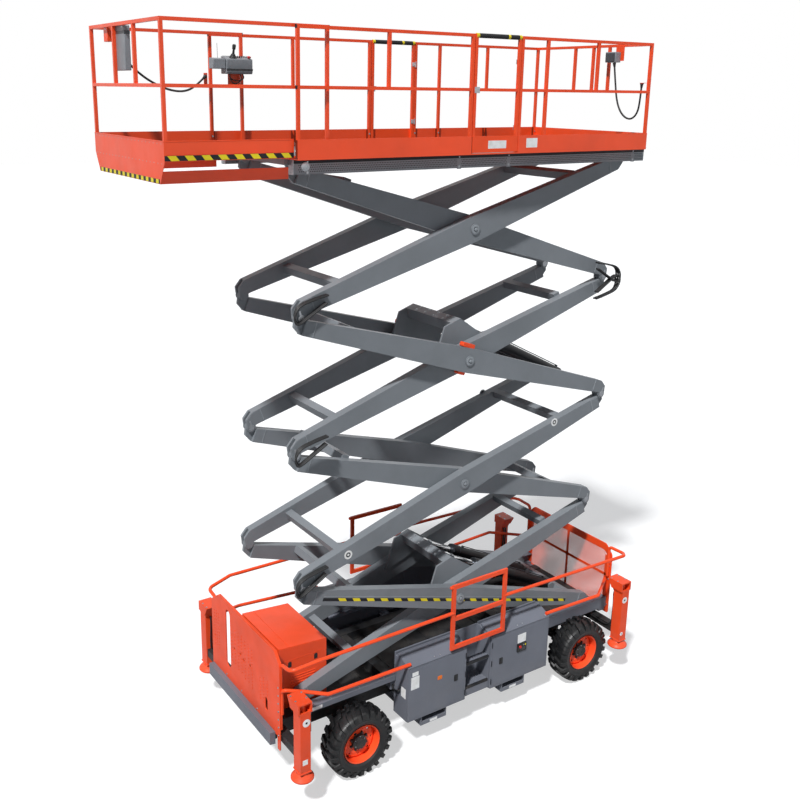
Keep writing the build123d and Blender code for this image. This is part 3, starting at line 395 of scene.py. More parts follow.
def stripes_on_both_sides(name, body, length, height, slant, marks, slot):
    """Slanted yellow blocks at the marks on the left and at their mirror images on the right."""
    for side, way in SIDES:
        stand = 0 if way > 0 else -STRIPE_THICK
        placed = [((x, way * y + stand, z), turn) for (x, y, z), turn in marks]
        at_marks(f"{name}_{side}", body, stripe(length, height, slant), placed, "yellow", slot)


# ---- repeated fittings
STRIPE_THICK = 0.0006
FACING = {"left": (-pi / 2, 0, 0), "right": (pi / 2, 0, 0), "up": (0, 0, 0), "front": (0, pi / 2, 0),
          "rear": (0, -pi / 2, 0), "down": (pi, 0, 0)}


def bolt(radius, height=None, washer=1.5):
    """A hexagon bolt head on its washer, standing on z = 0."""
    height = height or radius * 0.75
    shape = Shape()
    lip = height * 0.22
    shape.lathe((0, 0, 0), (0, 0, 1), [(0, 0), (0, radius * washer), (lip, radius * washer), (lip, radius)],
                16)
    shape.lathe((0, 0, lip), (0, 0, 1), [
        (0, radius), (height, radius), (height * 1.12, radius * 0.8), (height * 1.12, 0)], 6)
    return shape


def stripe(length, height, slant):
    """A slanted bar standing in the x-z plane, its back on y = 0."""
    half = height / 2
    outline = [(0, -half), (length, -half), (length + slant, half), (slant, half)]
    return Shape().prism(outline, across, 0, STRIPE_THICK)


# ---- finishes
FINISH = {}


def colour(value):
    """A hex colour as linear red, green, blue, alpha."""
    parts = [int(value[i:i + 2], 16) / 255 for i in (0, 2, 4)]
    return [c / 12.92 if c <= 0.04045 else ((c + 0.055) / 1.055) ** 2.4 for c in parts] + [1.0]


class Nodes:
    """Short forms for the nodes of one material."""

    def __init__(self, name):
        self.material = bpy.data.materials.new(name)
        self.material.use_nodes = True
        self.tree = self.material.node_tree
        self.shader = self.tree.nodes["Principled BSDF"]
        self.coords = self.add("ShaderNodeTexCoord").outputs["Object"]

    def add(self, kind, **settings):
        node = self.tree.nodes.new(kind)
        for key, value in settings.items():
            setattr(node, key, value)
        return node

    def link(self, a, b):
        self.tree.links.new(a, b)

    def noise(self, scale, detail=3.0, roughness=0.55, stretch=(1, 1, 1)):
        mapping = self.add("ShaderNodeMapping")
        mapping.inputs["Scale"].default_value = stretch
        self.link(self.coords, mapping.inputs["Vector"])
        node = self.add("ShaderNodeTexNoise")
        node.inputs["Scale"].default_value = scale
        node.inputs["Detail"].default_value = detail
        node.inputs["Roughness"].default_value = roughness
        self.link(mapping.outputs[0], node.inputs["Vector"])
        return node.outputs["Fac"]

    def span(self, value, low, high, to_low=0.0, to_high=1.0):
        node = self.add("ShaderNodeMapRange")
        for label, number in (("From Min", low), ("From Max", high), ("To Min", to_low), ("To Max", to_high)):
            node.inputs[label].default_value = number
        self.link(value, node.inputs["Value"])
        return node.outputs[0]

    def maths(self, what, a, b=None):
        node = self.add("ShaderNodeMath", operation=what)
        for socket, value in zip(node.inputs, (a, b)):
            if isinstance(value, (int, float)):
                socket.default_value = value
            elif value is not None:
                self.link(value, socket)
        return node.outputs[0]

    def times(self, a, b):
        return self.maths("MULTIPLY", a, b)

    def mix(self, factor, a, b):
        node = self.add("ShaderNodeMix", data_type="RGBA")
        if isinstance(factor, (int, float)):
            node.inputs["Factor"].default_value = factor
        else:
            self.link(factor, node.inputs["Factor"])
        for label, value in (("A", a), ("B", b)):
            socket = next(s for s in node.inputs if s.name == label and s.type == "RGBA")
            if isinstance(value, (list, tuple)):
                socket.default_value = value
            else:
                self.link(value, socket)
        return next(s for s in node.outputs if s.type == "RGBA")

    def axis(self, letter):
        node = self.add("ShaderNodeSeparateXYZ")
        self.link(self.coords, node.inputs[0])
        return node.outputs[letter]

    def edge(self, radius):
        """Where the surface bends within a radius: the rounded normal, and how far it turns."""
        bevel = self.add("ShaderNodeBevel", samples=4)
        bevel.inputs["Radius"].default_value = radius
        flat = self.add("ShaderNodeNewGeometry")
        dot = self.add("ShaderNodeVectorMath", operation="DOT_PRODUCT")
        self.link(bevel.outputs[0], dot.inputs[0])
        self.link(flat.outputs["Normal"], dot.inputs[1])
        return bevel.outputs[0], self.span(dot.outputs["Value"], 0.98, 0.75)

    def bump(self, height, strength, distance, normal=None):
        node = self.add("ShaderNodeBump")
        node.inputs["Strength"].default_value = strength
        node.inputs["Distance"].default_value = distance
        self.link(height, node.inputs["Height"])
        if normal is not None:
            self.link(normal, node.inputs["Normal"])
        self.link(node.outputs[0], self.shader.inputs["Normal"])
        return node.outputs[0]

    def tint(self, tone):
        self.link(tone, self.shader.inputs["Base Color"])

    def dull(self, grain, low, high):
        """Roughness between two values by a noise."""
        self.link(self.span(grain, 0.3, 0.7, low, high), self.shader.inputs["Roughness"])

    def set(self, **values):
        for key, value in values.items():
            self.shader.inputs[key.replace("_", " ")].default_value = value

    def keep(self, key):
        FINISH[key] = self.material
        return self.material


def paint(key, base, dark, rough, grime=0.0, worn=None, rounding=0.003, coat=0.0, road=0.0):
    """Powder-coated steel: faint mottling, orange peel, worn edges, and road dust low down."""
    n = Nodes(key)
    patches = n.span(n.noise(1.7, 5.0), 0.35, 0.7)
    tone = n.mix(n.times(patches, 0.55), colour(base), colour(dark))
    if grime:
        streaks = n.span(n.noise(2.4, 5.0, 0.55), 0.52, 0.8)
        tone = n.mix(n.times(streaks, grime), tone, colour("3b3733"))
    normal, bent = n.edge(rounding)
    if worn:
        chips = n.times(bent, n.span(n.noise(38.0, 4.0), 0.42, 0.68))
        tone = n.mix(n.times(chips, 0.55), tone, colour(worn))
    if road:
        low = n.span(n.axis("Z"), 1.1, 0.1)
        dust = n.times(n.times(low, n.span(n.noise(6.0, 6.0), 0.3, 0.75)), road)
        tone = n.mix(dust, tone, colour("8d857a"))
    n.tint(tone)
    n.link(n.span(n.noise(5.0, 4.0), 0.3, 0.75, rough - 0.06, rough + 0.09), n.shader.inputs["Roughness"])
    n.bump(n.noise(420.0, 2.0), 0.12, 0.0006, normal)
    n.set(Metallic=0.0, IOR=1.5, Specular_IOR_Level=0.25)
    if coat:
        n.set(Coat_Weight=coat, Coat_Roughness=0.12)
    return n.keep(key)


def plastic(key, base, rough, grain=240.0, bump=0.2):
    """Moulded plastic or rubber with a fine grain."""
    n = Nodes(key)
    dull = n.span(n.noise(7.0, 4.0), 0.35, 0.7)
    dark = [c * 0.72 for c in colour(base)[:3]] + [1.0]
    n.tint(n.mix(n.times(dull, 0.5), colour(base), dark))
    n.dull(n.noise(20.0), rough - 0.05, rough + 0.07)
    normal, _ = n.edge(0.0015)
    n.bump(n.noise(grain, 2.0), bump, 0.0006, normal)
    return n.keep(key)


def metal(key, base, rough, spots=0.0, stretch=(1, 1, 1)):
    """Bare or plated metal with fine brushing and, where galvanised, spangle."""
    n = Nodes(key)
    tone = n.mix(n.span(n.noise(14.0, 5.0), 0.35, 0.7), colour(base),
                 [c * 0.7 for c in colour(base)[:3]] + [1.0])
    if spots:
        cells = n.add("ShaderNodeTexVoronoi")
        cells.inputs["Scale"].default_value = 60.0
        n.link(n.coords, cells.inputs["Vector"])
        tone = n.mix(n.times(n.span(cells.outputs["Distance"], 0.1, 0.6), spots), tone, colour("c9ccd0"))
    n.tint(tone)
    n.dull(n.noise(45.0, 3.0, 0.5, stretch), rough - 0.05, rough + 0.08)
    n.bump(n.noise(300.0, 2.0, 0.5, stretch), 0.06, 0.0004)
    n.set(Metallic=1.0)
    return n.keep(key)


def tyre_rubber():
    """Black rubber, greyer with dust and scuffed along the lugs' edges."""
    n = Nodes("tyre_rubber")
    dust = n.span(n.noise(9.0, 6.0), 0.45, 0.8)
    tone = n.mix(n.times(dust, 0.16), colour("0e0f11"), colour("3a3835"))
    normal, bent = n.edge(0.004)
    tone = n.mix(n.times(bent, 0.25), tone, colour("2c2d2f"))
    n.tint(tone)
    n.dull(n.noise(30.0, 4.0), 0.36, 0.52)
    n.bump(n.noise(160.0, 4.0), 0.15, 0.001, normal)
    return n.keep("tyre_rubber")


def deck_paint(key, base, floor, low, top):
    """Orange paint over a tread-plate floor at its own height, and bare grey below the low level."""
    n = Nodes(key)
    height = n.axis("Z")
    facing = n.add("ShaderNodeNewGeometry")
    split = n.add("ShaderNodeSeparateXYZ")
    n.link(facing.outputs["Normal"], split.inputs[0])
    on_floor = n.times(
        n.maths("LESS_THAN", height, floor + 0.004), n.maths("GREATER_THAN", split.outputs["Z"], 0.7))
    beneath = n.maths("LESS_THAN", height, low)
    mottled = n.span(n.noise(1.7, 5.0), 0.35, 0.7)
    tone = n.mix(n.times(mottled, 0.5), colour(base), colour(shade_of(base, 0.86)))
    tone = n.mix(on_floor, tone, colour("55585c"))
    tone = n.mix(beneath, tone, colour(top))
    n.tint(tone)
    n.link(n.span(n.noise(5.0, 4.0), 0.3, 0.75, 0.32, 0.46), n.shader.inputs["Roughness"])
    normal, _ = n.edge(0.003)
    n.bump(n.noise(420.0, 2.0), 0.12, 0.0006, normal)
    return n.keep(key)


def plain_label():
    """A blank vinyl label, faintly mottled."""
    n = Nodes("label")
    n.tint(n.mix(n.span(n.noise(12.0, 4.0), 0.4, 0.75), colour("eceded"), colour("d6d6d2")))
    n.dull(n.noise(40.0), 0.3, 0.42)
    n.bump(n.noise(90.0, 2.0), 0.05, 0.0004)
    return n.keep("label")


def make_finishes(shades):
    """Every finish, from the shades that the panel holds."""
    orange, grey, arms = (to_hex(shades.orange), to_hex(shades.grey), to_hex(shades.arms))
    paint("orange", orange, shade_of(orange, 0.86), 0.36, grime=0.04, worn="c4492a", coat=0.12)
    paint("orange_road", orange, shade_of(orange, 0.84), 0.38, grime=0.08, worn="c4492a", coat=0.1, road=0.25)
    paint("rim", shade_of(orange, 1.05), shade_of(orange, 0.95), 0.34, grime=0.04, worn="c4492a", coat=0.2,
          road=0.08)
    # orange_shade is the orange darkened to half: painted shade for the supports under the toe boards
    paint("orange_shade", shade_of(orange, 0.5), shade_of(orange, 0.36), 0.5, grime=0.3)
    paint("grey", grey, shade_of(grey, 0.86), 0.42, grime=0.1, worn="9a9da0", road=0.2)
    paint("arm", arms, shade_of(arms, 0.88), 0.4, grime=0.08, worn="a9acb0")
    # arm_light is the arm paint made lighter: a painted highlight on the arms' seam strips and fold line, and
    # the paler grey of the centre caps, beam covers and channel parts
    paint("arm_light", shade_of(arms, 1.16), arms, 0.38, grime=0.12, worn="b9bcc0")
    paint("black", "1d1f23", "131417", 0.42, grime=0.1, worn="4b4e52", road=0.3)
    paint("yellow", "e8d52a", "cdb91f", 0.42, grime=0.12)
    plastic("black_plastic", "17181a", 0.45)
    plastic("grey_plastic", "83878c", 0.42)
    plastic("dark_plastic", "3a3d42", 0.45)
    plastic("foam", "111214", 0.85, grain=90.0, bump=0.6)
    plastic("hose", "131416", 0.5, grain=160.0)
    plastic("red", "c8201b", 0.3)
    plastic("amber", "e8731c", 0.25)
    plastic("wire", "9fa3a8", 0.5)
    metal("chrome", "e2e4e6", 0.1)
    metal("zinc", "a7abb0", 0.36, spots=0.35)
    metal("dark_steel", "4b4e53", 0.42)
    deck_paint("deck", orange, DECK, DECK - 0.016, arms)
    deck_paint("roll_out", orange, DECK + 0.026, DECK - 0.9, arms)
    tyre_rubber()
    plain_label()


def to_hex(value):
    """A panel colour, which is linear, as a hex colour."""
    parts = [12.92 * c if c <= 0.0031308 else 1.055 * c ** (1 / 2.4) - 0.055 for c in value[:3]]
    return "".join(f"{round(255 * min(1, max(0, part))):02x}" for part in parts)


def shade_of(value, share):
    """A hex colour made lighter or darker by a share."""
    return "".join(f"{min(255, round(int(value[i:i + 2], 16) * share)):02x}" for i in (0, 2, 4))


NODE_FINISH = {"chassis_frame": "black", "engine": "dark_steel", "platform_deck": "deck",
               "extension": "roll_out", "outrigger_housings": "orange_road",
               "front_guard_plate": "orange_road", "rear_guard_panel": "orange_road", "guard_rails": "orange",
               "hood": "orange", "hood_lid": "orange", "platform_rails": "orange",
               "control_boxes": "grey_plastic", "rear_box": "grey_plastic"}
WORD_FINISH = {
    "arms": "arm", "tyre": "tyre_rubber", "rim": "rim", "hub": "black", "axle": "black", "knuckle": "black",
    "barrels": "black", "rods": "chrome", "outrigger_leg": "orange_road", "gate": "orange", "cable": "hose",
    "cabinet": "grey", "chassis_tracks": "grey", "steps": "grey", "fork_pockets": "grey", "bumper": "grey",
}


def finish_of(node):
    """The finish of a CAD node."""
    return NODE_FINISH.get(node) or next(finish for word, finish in WORD_FINISH.items() if word in node)


# ---- sizes and shades that a user would change
class LiftShades(bpy.types.PropertyGroup):
    """Paint shades and the studio's light."""

    orange: bpy.props.FloatVectorProperty(
        name="Orange", description="Paint of the platform, guards, hood and outriggers",
        default=colour("f65024")[:3], size=3, subtype="COLOR", min=0, max=1)
    grey: bpy.props.FloatVectorProperty(
        name="Grey", description="Paint of the cabinets, steps, ledges and bumper",
        default=colour("6f737d")[:3], size=3, subtype="COLOR", min=0, max=1)
    arms: bpy.props.FloatVectorProperty(
        name="Arms", description="Paint of the lifting arms", default=colour("7c8186")[:3], size=3,
        subtype="COLOR", min=0, max=1)
    sky: bpy.props.FloatProperty(
        name="Sky", description="Strength of the even light from all round", default=0.14, min=0, max=3)
    key: bpy.props.FloatProperty(
        name="Key lamp", description="Strength of the sun lamp", default=4.0, min=0, max=20)


class LiftSizes(bpy.types.PropertyGroup):
    """Sizes of the fittings that the frame doesn't hold."""

    lug_count: bpy.props.IntProperty(
        name="Lugs", description="Lugs on each side of a tyre's tread", default=22, min=8, max=40)
    lug_height: bpy.props.FloatProperty(
        name="Lug height", description="How far a lug stands over the tread", default=0.028,
        subtype="DISTANCE", unit="LENGTH")
    stripe_length: bpy.props.FloatProperty(
        name="Stripe", description="Length of one block of the hazard bands on the arms", default=0.1,
        subtype="DISTANCE", unit="LENGTH")
    hose: bpy.props.FloatProperty(
        name="Hose", description="Radius of the hydraulic hoses", default=0.011, subtype="DISTANCE",
        unit="LENGTH")
    hole: bpy.props.FloatProperty(
        name="Hole", description="Radius of the guard plate's ventilation holes", default=0.011,
        subtype="DISTANCE", unit="LENGTH")


def sizes():
    return bpy.context.scene.lift_sizes


def shades():
    return bpy.context.scene.lift_shades


# ---- studio
CAMERA_AT = (6.2925, 8.971, 7.587)
CAMERA_YAW = 4.127
CAMERA_PITCH = -0.263
CAMERA_ROLL = 0.013
LENS = 43.494
LENS_SHIFT = (0.0376, -0.0627)
KEY_AT = (5.0, 3.3, 8.0)
FILL_AT, FILL_AIM = (3.0, 15.0, 9.0), (0, 0, 4.0)
FILL_POWER, FILL_SIZE = 110.0, 9.0
FLOOR_GLOW = 0.56
WHITE = (1, 1, 1, 1)


def camera():
    """The camera, level but for a slight roll, looking down at the machine's front left."""
    ahead = Vector((cos(CAMERA_PITCH) * cos(CAMERA_YAW), cos(CAMERA_PITCH) * sin(CAMERA_YAW),
                    sin(CAMERA_PITCH)))
    level = ahead.cross(Vector((0, 0, 1))).normalized()
    above = level.cross(ahead)
    right = level * cos(CAMERA_ROLL) + above * sin(CAMERA_ROLL)
    up = above * cos(CAMERA_ROLL) - level * sin(CAMERA_ROLL)
    data = bpy.data.cameras.new("camera")
    data.sensor_width = 36
    data.lens = LENS
    data.shift_x, data.shift_y = LENS_SHIFT
    data.clip_end = 400
    eye = link("camera", data)
    turn = Matrix((right, up, -ahead)).transposed().to_4x4()
    eye.matrix_world = Matrix.Translation(CAMERA_AT) @ turn
    bpy.context.scene.camera = eye


def backdrop_world(strength):
    """Even light for the object, plain white behind it and in what it mirrors."""
    world = bpy.data.worlds.new("studio")
    world.use_nodes = True
    tree = world.node_tree
    tree.nodes.clear()
    path, seen, light, mix, out = (tree.nodes.new("ShaderNode" + kind) for kind in (
        "LightPath", "Background", "Background", "MixShader", "OutputWorld"))
    seen.inputs["Color"].default_value = WHITE
    light.inputs["Color"].default_value = (0.72, 0.83, 1, 1)
    light.inputs["Strength"].default_value = strength
    white, output = path, "Is Camera Ray"
    for kind in ("Is Glossy Ray", "Is Transmission Ray"):
        either = tree.nodes.new("ShaderNodeMath")
        either.operation = "MAXIMUM"
        wire(tree, (white, output, either, 0), (path, kind, either, 1))
        white, output = either, 0
    wire(tree, (white, output, mix, 0), (light, 0, mix, 1), (seen, 0, mix, 2), (mix, 0, out, 0))
    bpy.context.scene.world = world


def lamp(name, kind, energy, at, towards, size=None, angle=None):
    data = bpy.data.lights.new(name, kind)
    data.energy = energy
    if size:
        data.shape = "SQUARE"
        data.size = size
    if angle:
        data.angle = radians(angle)
    light = link(name, data)
    light.location = at
    light.rotation_euler = (Vector(towards) - Vector(at)).to_track_quat("-Z", "Y").to_euler()


def floor():
    """A wide pale floor that shows white where it is lit and keeps the machine's soft shadow."""
    shape = Shape()
    reach = 90.0
    shape.block((-reach, reach), (-reach, reach), (-0.05, -0.0005))
    ground = link("floor", shape.mesh("floor"))
    n = Nodes("floor")
    grain = n.span(n.noise(0.6, 3.0), 0.3, 0.7, 0.97, 1.0)
    tone = n.mix(grain, [0.42, 0.43, 0.44, 1], [0.48, 0.485, 0.49, 1])
    n.tint(tone)
    n.set(Roughness=0.9, Specular_IOR_Level=0.1)
    path = n.add("ShaderNodeLightPath")
    n.shader.inputs["Emission Color"].default_value = WHITE
    n.link(n.times(path.outputs["Is Camera Ray"], FLOOR_GLOW), n.shader.inputs["Emission Strength"])
    ground.data.materials.append(n.material)


# ---- cables: the routes are the tubes' own points, moved to the frame's origin
CABLE_D = 0.022
FRONT_CABLE = [(3.66, -0.1, 7.812), (3.56, -0.165, 7.738), (3.384, -0.287, 7.644), (3.14, -0.45, 7.562),
               (2.89, -0.62, 7.538), (2.69, -0.757, 7.598), (2.525, -0.883, 7.706)]
REAR_CABLE = [(-2.172, 0.478, 7.937), (-2.178, 0.508, 7.73), (-2.183, 0.552, 7.48), (-2.19, 0.64, 7.33),
              (-2.198, 0.77, 7.272), (-2.204, 0.872, 7.35), (-2.208, 0.893, 7.52), (-2.21, 0.897, 7.7)]


def cable(name, route, body, node):
    """A hanging cable on one smooth line between its two holders."""
    curve = bpy.data.curves.new(name, "CURVE")
    curve.dimensions = "3D"
    curve.bevel_depth = CABLE_D / 2
    curve.bevel_resolution = 3
    curve.resolution_u = 12
    curve.use_fill_caps = True
    spline = curve.splines.new("NURBS")
    spline.points.add(len(route) - 1)
    for point, (x, y, z) in zip(spline.points, route):
        point.co = (x + MID_X, y, z, 1)
    spline.order_u = 3
    spline.use_endpoint_u = True
    curve.materials.append(FINISH["hose"])
    piece = link(name, curve)
    length = spline_length(piece)
    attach(piece, body)
    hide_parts(node)
    return piece


def spline_length(piece):
    """The length of a curve's own line."""
    bare = piece.data.copy()
    bare.bevel_depth = 0
    probe = link("probe", bare)
    view = bpy.context.evaluated_depsgraph_get()
    line = bpy.data.meshes.new_from_object(probe.evaluated_get(view))
    points = [vert.co.copy() for vert in line.vertices]
    bpy.data.objects.remove(probe)
    bpy.data.meshes.remove(line)
    return sum((b - a).length for a, b in zip(points, points[1:]))


# ---- wheels
def at_x(x):
    """A place along the machine, measured from the middle of the wheelbase."""
    return x + MID_X


def wheels():
    """Each wheel's body, its centre on the axle, and the way its outer side faces."""
    for end, x in (("front", AXLE_X), ("rear", REAR_AXLE_X)):
        for side, way in SIDES:
            yield f"{end}_{side}_wheel", f"{end}_{side}", Vector((x, way * WHEEL_Y, AXLE_Z)), way


WHEEL_Y = abs(MIDDLE["front_left_tyre"].y)
RIM_R = 0.236
DISC_Y = 1.01 - WHEEL_Y
HUB_Y = 1.092 - WHEEL_Y
NUTS = 8


def add_lug(shape, way, turn, height):
    """One slanted lug of the tread, wrapped over the shoulder; way is the side of the tread."""
    tread = TYRE_R - height
    stations = [(0.006, TYRE_R, tread), (0.05, TYRE_R, tread), (0.09, TYRE_R - 0.003, tread - 0.004),
                (0.122, TYRE_R - 0.009, tread - 0.01), (0.141, TYRE_R - 0.024, tread - 0.03),
                (0.1485, TYRE_R - 0.055, tread - 0.045), (0.1495, TYRE_R - 0.088, tread - 0.062)]
    rings = []
    for aside, top, base in stations:
        middle = turn + way * aside * 0.62 / TYRE_R * (1 - 0.45 * aside / 0.15)
        narrow = 0.019 + 0.045 * aside
        ring = []
        for radius, half in ((top, -narrow), (top, narrow), (base, narrow + 0.007), (base, -narrow - 0.007)):
            angle = middle + half / TYRE_R
            y = way * (aside if radius == top else aside - 0.012 * (aside > 0.13))
            ring.append(shape.bm.verts.new((radius * sin(angle), y, radius * cos(angle))))
        rings.append(ring)
    shape.skin(rings)


def tyre_carcass(centre):
    """The tyre's casing with its bead, raised sidewall rings and shallow crown."""
    crown = TYRE_R - sizes().lug_height
    half = [(0.0, crown + 0.001), (0.06, crown), (0.1, crown - 0.006), (0.124, crown - 0.02),
            (0.138, crown - 0.045), (0.1435, crown - 0.066), (0.1465, crown - 0.07), (0.1465, crown - 0.078),
            (0.1445, crown - 0.082), (0.141, crown - 0.105), (0.1375, crown - 0.115), (0.139, crown - 0.119),
            (0.137, crown - 0.124), (0.129, RIM_R + 0.018), (0.121, RIM_R + 0.013), (0.118, RIM_R + 0.004),
            (0.11, RIM_R + 0.0006)]
    profile = [(-a, r) for a, r in reversed(half[1:])] + half
    return Shape().lathe(centre, (0, 1, 0), profile, 96, closed=True)


def make_tyres():
    for body, name, centre, way in wheels():
        tyre = tyre_carcass(centre).done(name + "_carcass", body, "tyre_rubber", corner=50)
        count = sizes().lug_count
        unit = Shape()
        add_lug(unit, 1, 0.0, sizes().lug_height)
        add_lug(unit, -1, pi / count, sizes().lug_height)
        marks = [(tuple(centre), (0, way * 2 * pi * (i + 0.5) / count, 0)) for i in range(count)]
        lugs = at_marks(name + "_lugs", body, unit, marks, "tyre_rubber", corner=24)
        for piece in (tyre, lugs):
            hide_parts(name + "_tyre")
        # two pale moulded marks on the outer sidewall
        marks_shape = Shape()
        for turn in (0.7, 3.6):
            place = round_axle(centre, way * 0.1412, 0.315, turn)
            marks_shape.lathe(place, (0, way, 0), [(0, 0.009), (0.0016, 0.0085), (0.0016, 0)], 16)
        marks_shape.done(name + "_sidewall_marks", body, "label", "tyre")


def wheel_disc(centre, way):
    """The rim: a rolled barrel with its flanges and safety humps, and a dished disc."""
    shape = Shape()
    barrel = [(-0.1, 0.2215), (-0.118, 0.2255), (-0.124, 0.235), (-0.1155, 0.2355), (-0.111, 0.2325),
              (-0.1, 0.2275), (-0.06, 0.226), (0.06, 0.226), (0.1, 0.2275), (0.111, 0.2325), (0.1155, 0.2355),
              (0.124, 0.235), (0.118, 0.2255), (0.1, 0.2215), (0.06, 0.2195), (-0.06, 0.2195)]
    shape.lathe(centre, (0, 1, 0), barrel, 72, closed=True)
    front = [(DISC_Y + 0.012, 0.0885), (DISC_Y + 0.014, 0.118), (DISC_Y + 0.018, 0.132),
             (DISC_Y + 0.02, 0.152)]
    back = [(DISC_Y, 0.0885), (DISC_Y + 0.002, 0.118), (DISC_Y + 0.006, 0.132), (DISC_Y + 0.008, 0.152)]
    rim = [(DISC_Y + 0.006, 0.2085), (DISC_Y - 0.03, 0.2192), (DISC_Y - 0.042, 0.2192),
           (DISC_Y - 0.01, 0.2055)]
    # the web with the hand holes lies between these two rings of the disc
    outer = [(DISC_Y + 0.017, 0.188)] + rim[:2]
    inner = rim[2:] + [(DISC_Y + 0.005, 0.188)]
    shape.lathe(centre, (0, way, 0), front + back[::-1], 72, closed=True)
    shape.lathe(centre, (0, way, 0), outer + inner, 72, closed=True)
    return shape


def disc_web(centre, way):
    """The disc's flat web with its ring of round hand holes."""
    curve = flat_curve("web", 0.01)
    circle(curve, 0, 0, 0.189, 72)
    circle(curve, 0, 0, 0.151, 72)
    for x, y in round_points(8, 0.17):
        circle(curve, x, y, 0.0125, 20)
    mesh = flat_mesh(curve)
    place = Matrix.Translation(
        centre + Vector((0, way * (DISC_Y + 0.013), 0))) @ Matrix.Rotation(pi / 2, 4, "X")
    mesh.transform(place)
    return mesh


def round_points(count, radius):
    """Points evenly round a circle, the first at its top."""
    return [(radius * sin(2 * pi * i / count), radius * cos(2 * pi * i / count)) for i in range(count)]


def circle(curve, x, y, radius, count):
    """A closed round outline in a flat curve."""
    outline(curve, [(x + a, y + b) for a, b in round_points(count, radius)])


def outline(curve, points):
    spline = curve.splines.new("POLY")
    spline.points.add(len(points) - 1)
    for point, (x, y) in zip(spline.points, points):
        point.co = (x, y, 0, 1)
    spline.use_cyclic_u = True


def flat_curve(name, thick):
    """An empty flat curve that fills to a plate of this thickness."""
    curve = bpy.data.curves.new(name, "CURVE")
    curve.dimensions = "2D"
    curve.fill_mode = "BOTH"
    curve.extrude = thick / 2
    return curve


def cross_plate(curve, x):
    """A flat curve's mesh as a plate across the machine at x: (a, b, depth) becomes (depth, y, z)."""
    mesh = flat_mesh(curve)
    mesh.transform(Matrix(((0, 0, 1, x), (1, 0, 0, 0), (0, 1, 0, 0), (0, 0, 0, 1))))
    return mesh


def flat_mesh(curve):
    """The plain mesh of a filled flat curve."""
    holder = link("flat", curve)
    view = bpy.context.evaluated_depsgraph_get()
    mesh = bpy.data.meshes.new_from_object(holder.evaluated_get(view))
    bpy.data.objects.remove(holder)
    work = bmesh.new()
    work.from_mesh(mesh)
    bmesh.ops.remove_doubles(work, verts=work.verts[:], dist=1e-6)
    bmesh.ops.recalc_face_normals(work, faces=work.faces[:])
    work.to_mesh(mesh)
    work.free()
    return mesh


def mesh_piece(name, mesh, body, finish):
    mesh.materials.clear()
    mesh.materials.append(FINISH[finish])
    return settle(name, mesh, body, slot_of(finish))


def round_axle(centre, aside, radius, turn):
    """A point beside a wheel's centre: how far along the axle, and where round it."""
    return centre + Vector((radius * sin(turn), aside, radius * cos(turn)))


def make_wheels():
    for body, name, centre, way in wheels():
        disc = wheel_disc(centre, way).done(name + "_rim_barrel", body, "rim", corner=28)
        web = mesh_piece(name + "_rim_web", disc_web(centre, way), body, "rim")
        for piece in (disc, web):
            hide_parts(name + "_rim")
        face = "left" if way > 0 else "right"
        marks = [(round_axle(centre, way * (DISC_Y + 0.0135), 0.108, 2 * pi * (i + 0.5) / NUTS), FACING[face])
                 for i in range(NUTS)]
        at_marks(name + "_wheel_nuts", body, bolt(0.013, 0.017, 1.3), marks, "black_plastic", "black_paint")
        cap = [(centre + Vector((0.068 * sin(t), way * (HUB_Y - 0.028), 0.074 * cos(t))), FACING[face])
               for t in (2 * pi * i / 6 for i in range(6))]
        hub = Shape().lathe(centre, (0, way, 0), [
            (DISC_Y + 0.013, 0.0884), (DISC_Y + 0.015, 0.0925), (DISC_Y + 0.026, 0.0925),
            (DISC_Y + 0.028, 0.0884)], 48)
        hub.lathe(centre, (0, way, 0), [
            (HUB_Y - 0.001, 0.02), (HUB_Y + 0.004, 0.019), (HUB_Y + 0.005, 0.016), (HUB_Y + 0.005, 0)], 6)
        hub.done(name + "_hub_cap", body, "black", corner=35)
        at_marks(name + "_hub_bolts", body, bolt(0.0065, 0.006, 1.3), cap, "zinc", "black_paint")
        valve = Shape()
        stem = round_axle(centre, way * (DISC_Y - 0.004), 0.205, 2.4)
        valve.lathe(stem, (0, way, 0), [
            (0, 0.0), (0, 0.006), (0.03, 0.006), (0.031, 0.0045), (0.044, 0.0045), (0.046, 0.0)], 14)
        valve.done(name + "_valve", body, "black_plastic")


# ---- arms
def arm_point(kind, stack, u, v):
    """A point (x, z) of an arm pair: u along it from its middle, v square to it."""
    rises = 1 if (kind == "outer") == (stack % 2 == 1) else -1
    z = BASE_Z + (stack - 0.5) * RISE
    return (CROSS_X + rises * (u * cos(TILT) - v * sin(TILT)), z + u * sin(TILT) + v * cos(TILT))


def arm_edge(u):
    """The lower and upper edge of an arm's box at a place along it."""
    share = min(1.0, abs(u) / (HALF - 0.065))
    if u > 0:
        return -0.145 - 0.02 * share, 0.145 - 0.15 * share
    return -0.145 + 0.15 * share, 0.145 + 0.02 * share


ARM_FACE = {"outer": OUTER_FACE, "inner": 0.583}


def on_arm(kind, stack):
    """Places an (u, v) outline on an arm pair, with its depth along y."""
    def place(u, v, depth):
        x, z = arm_point(kind, stack, u, v)
        return (x, depth, z)
    return place


def arm_pairs():
    for stack in STACKS:
        for kind in ("inner", "outer"):
            yield kind, stack, f"{kind}_arms_{stack}"


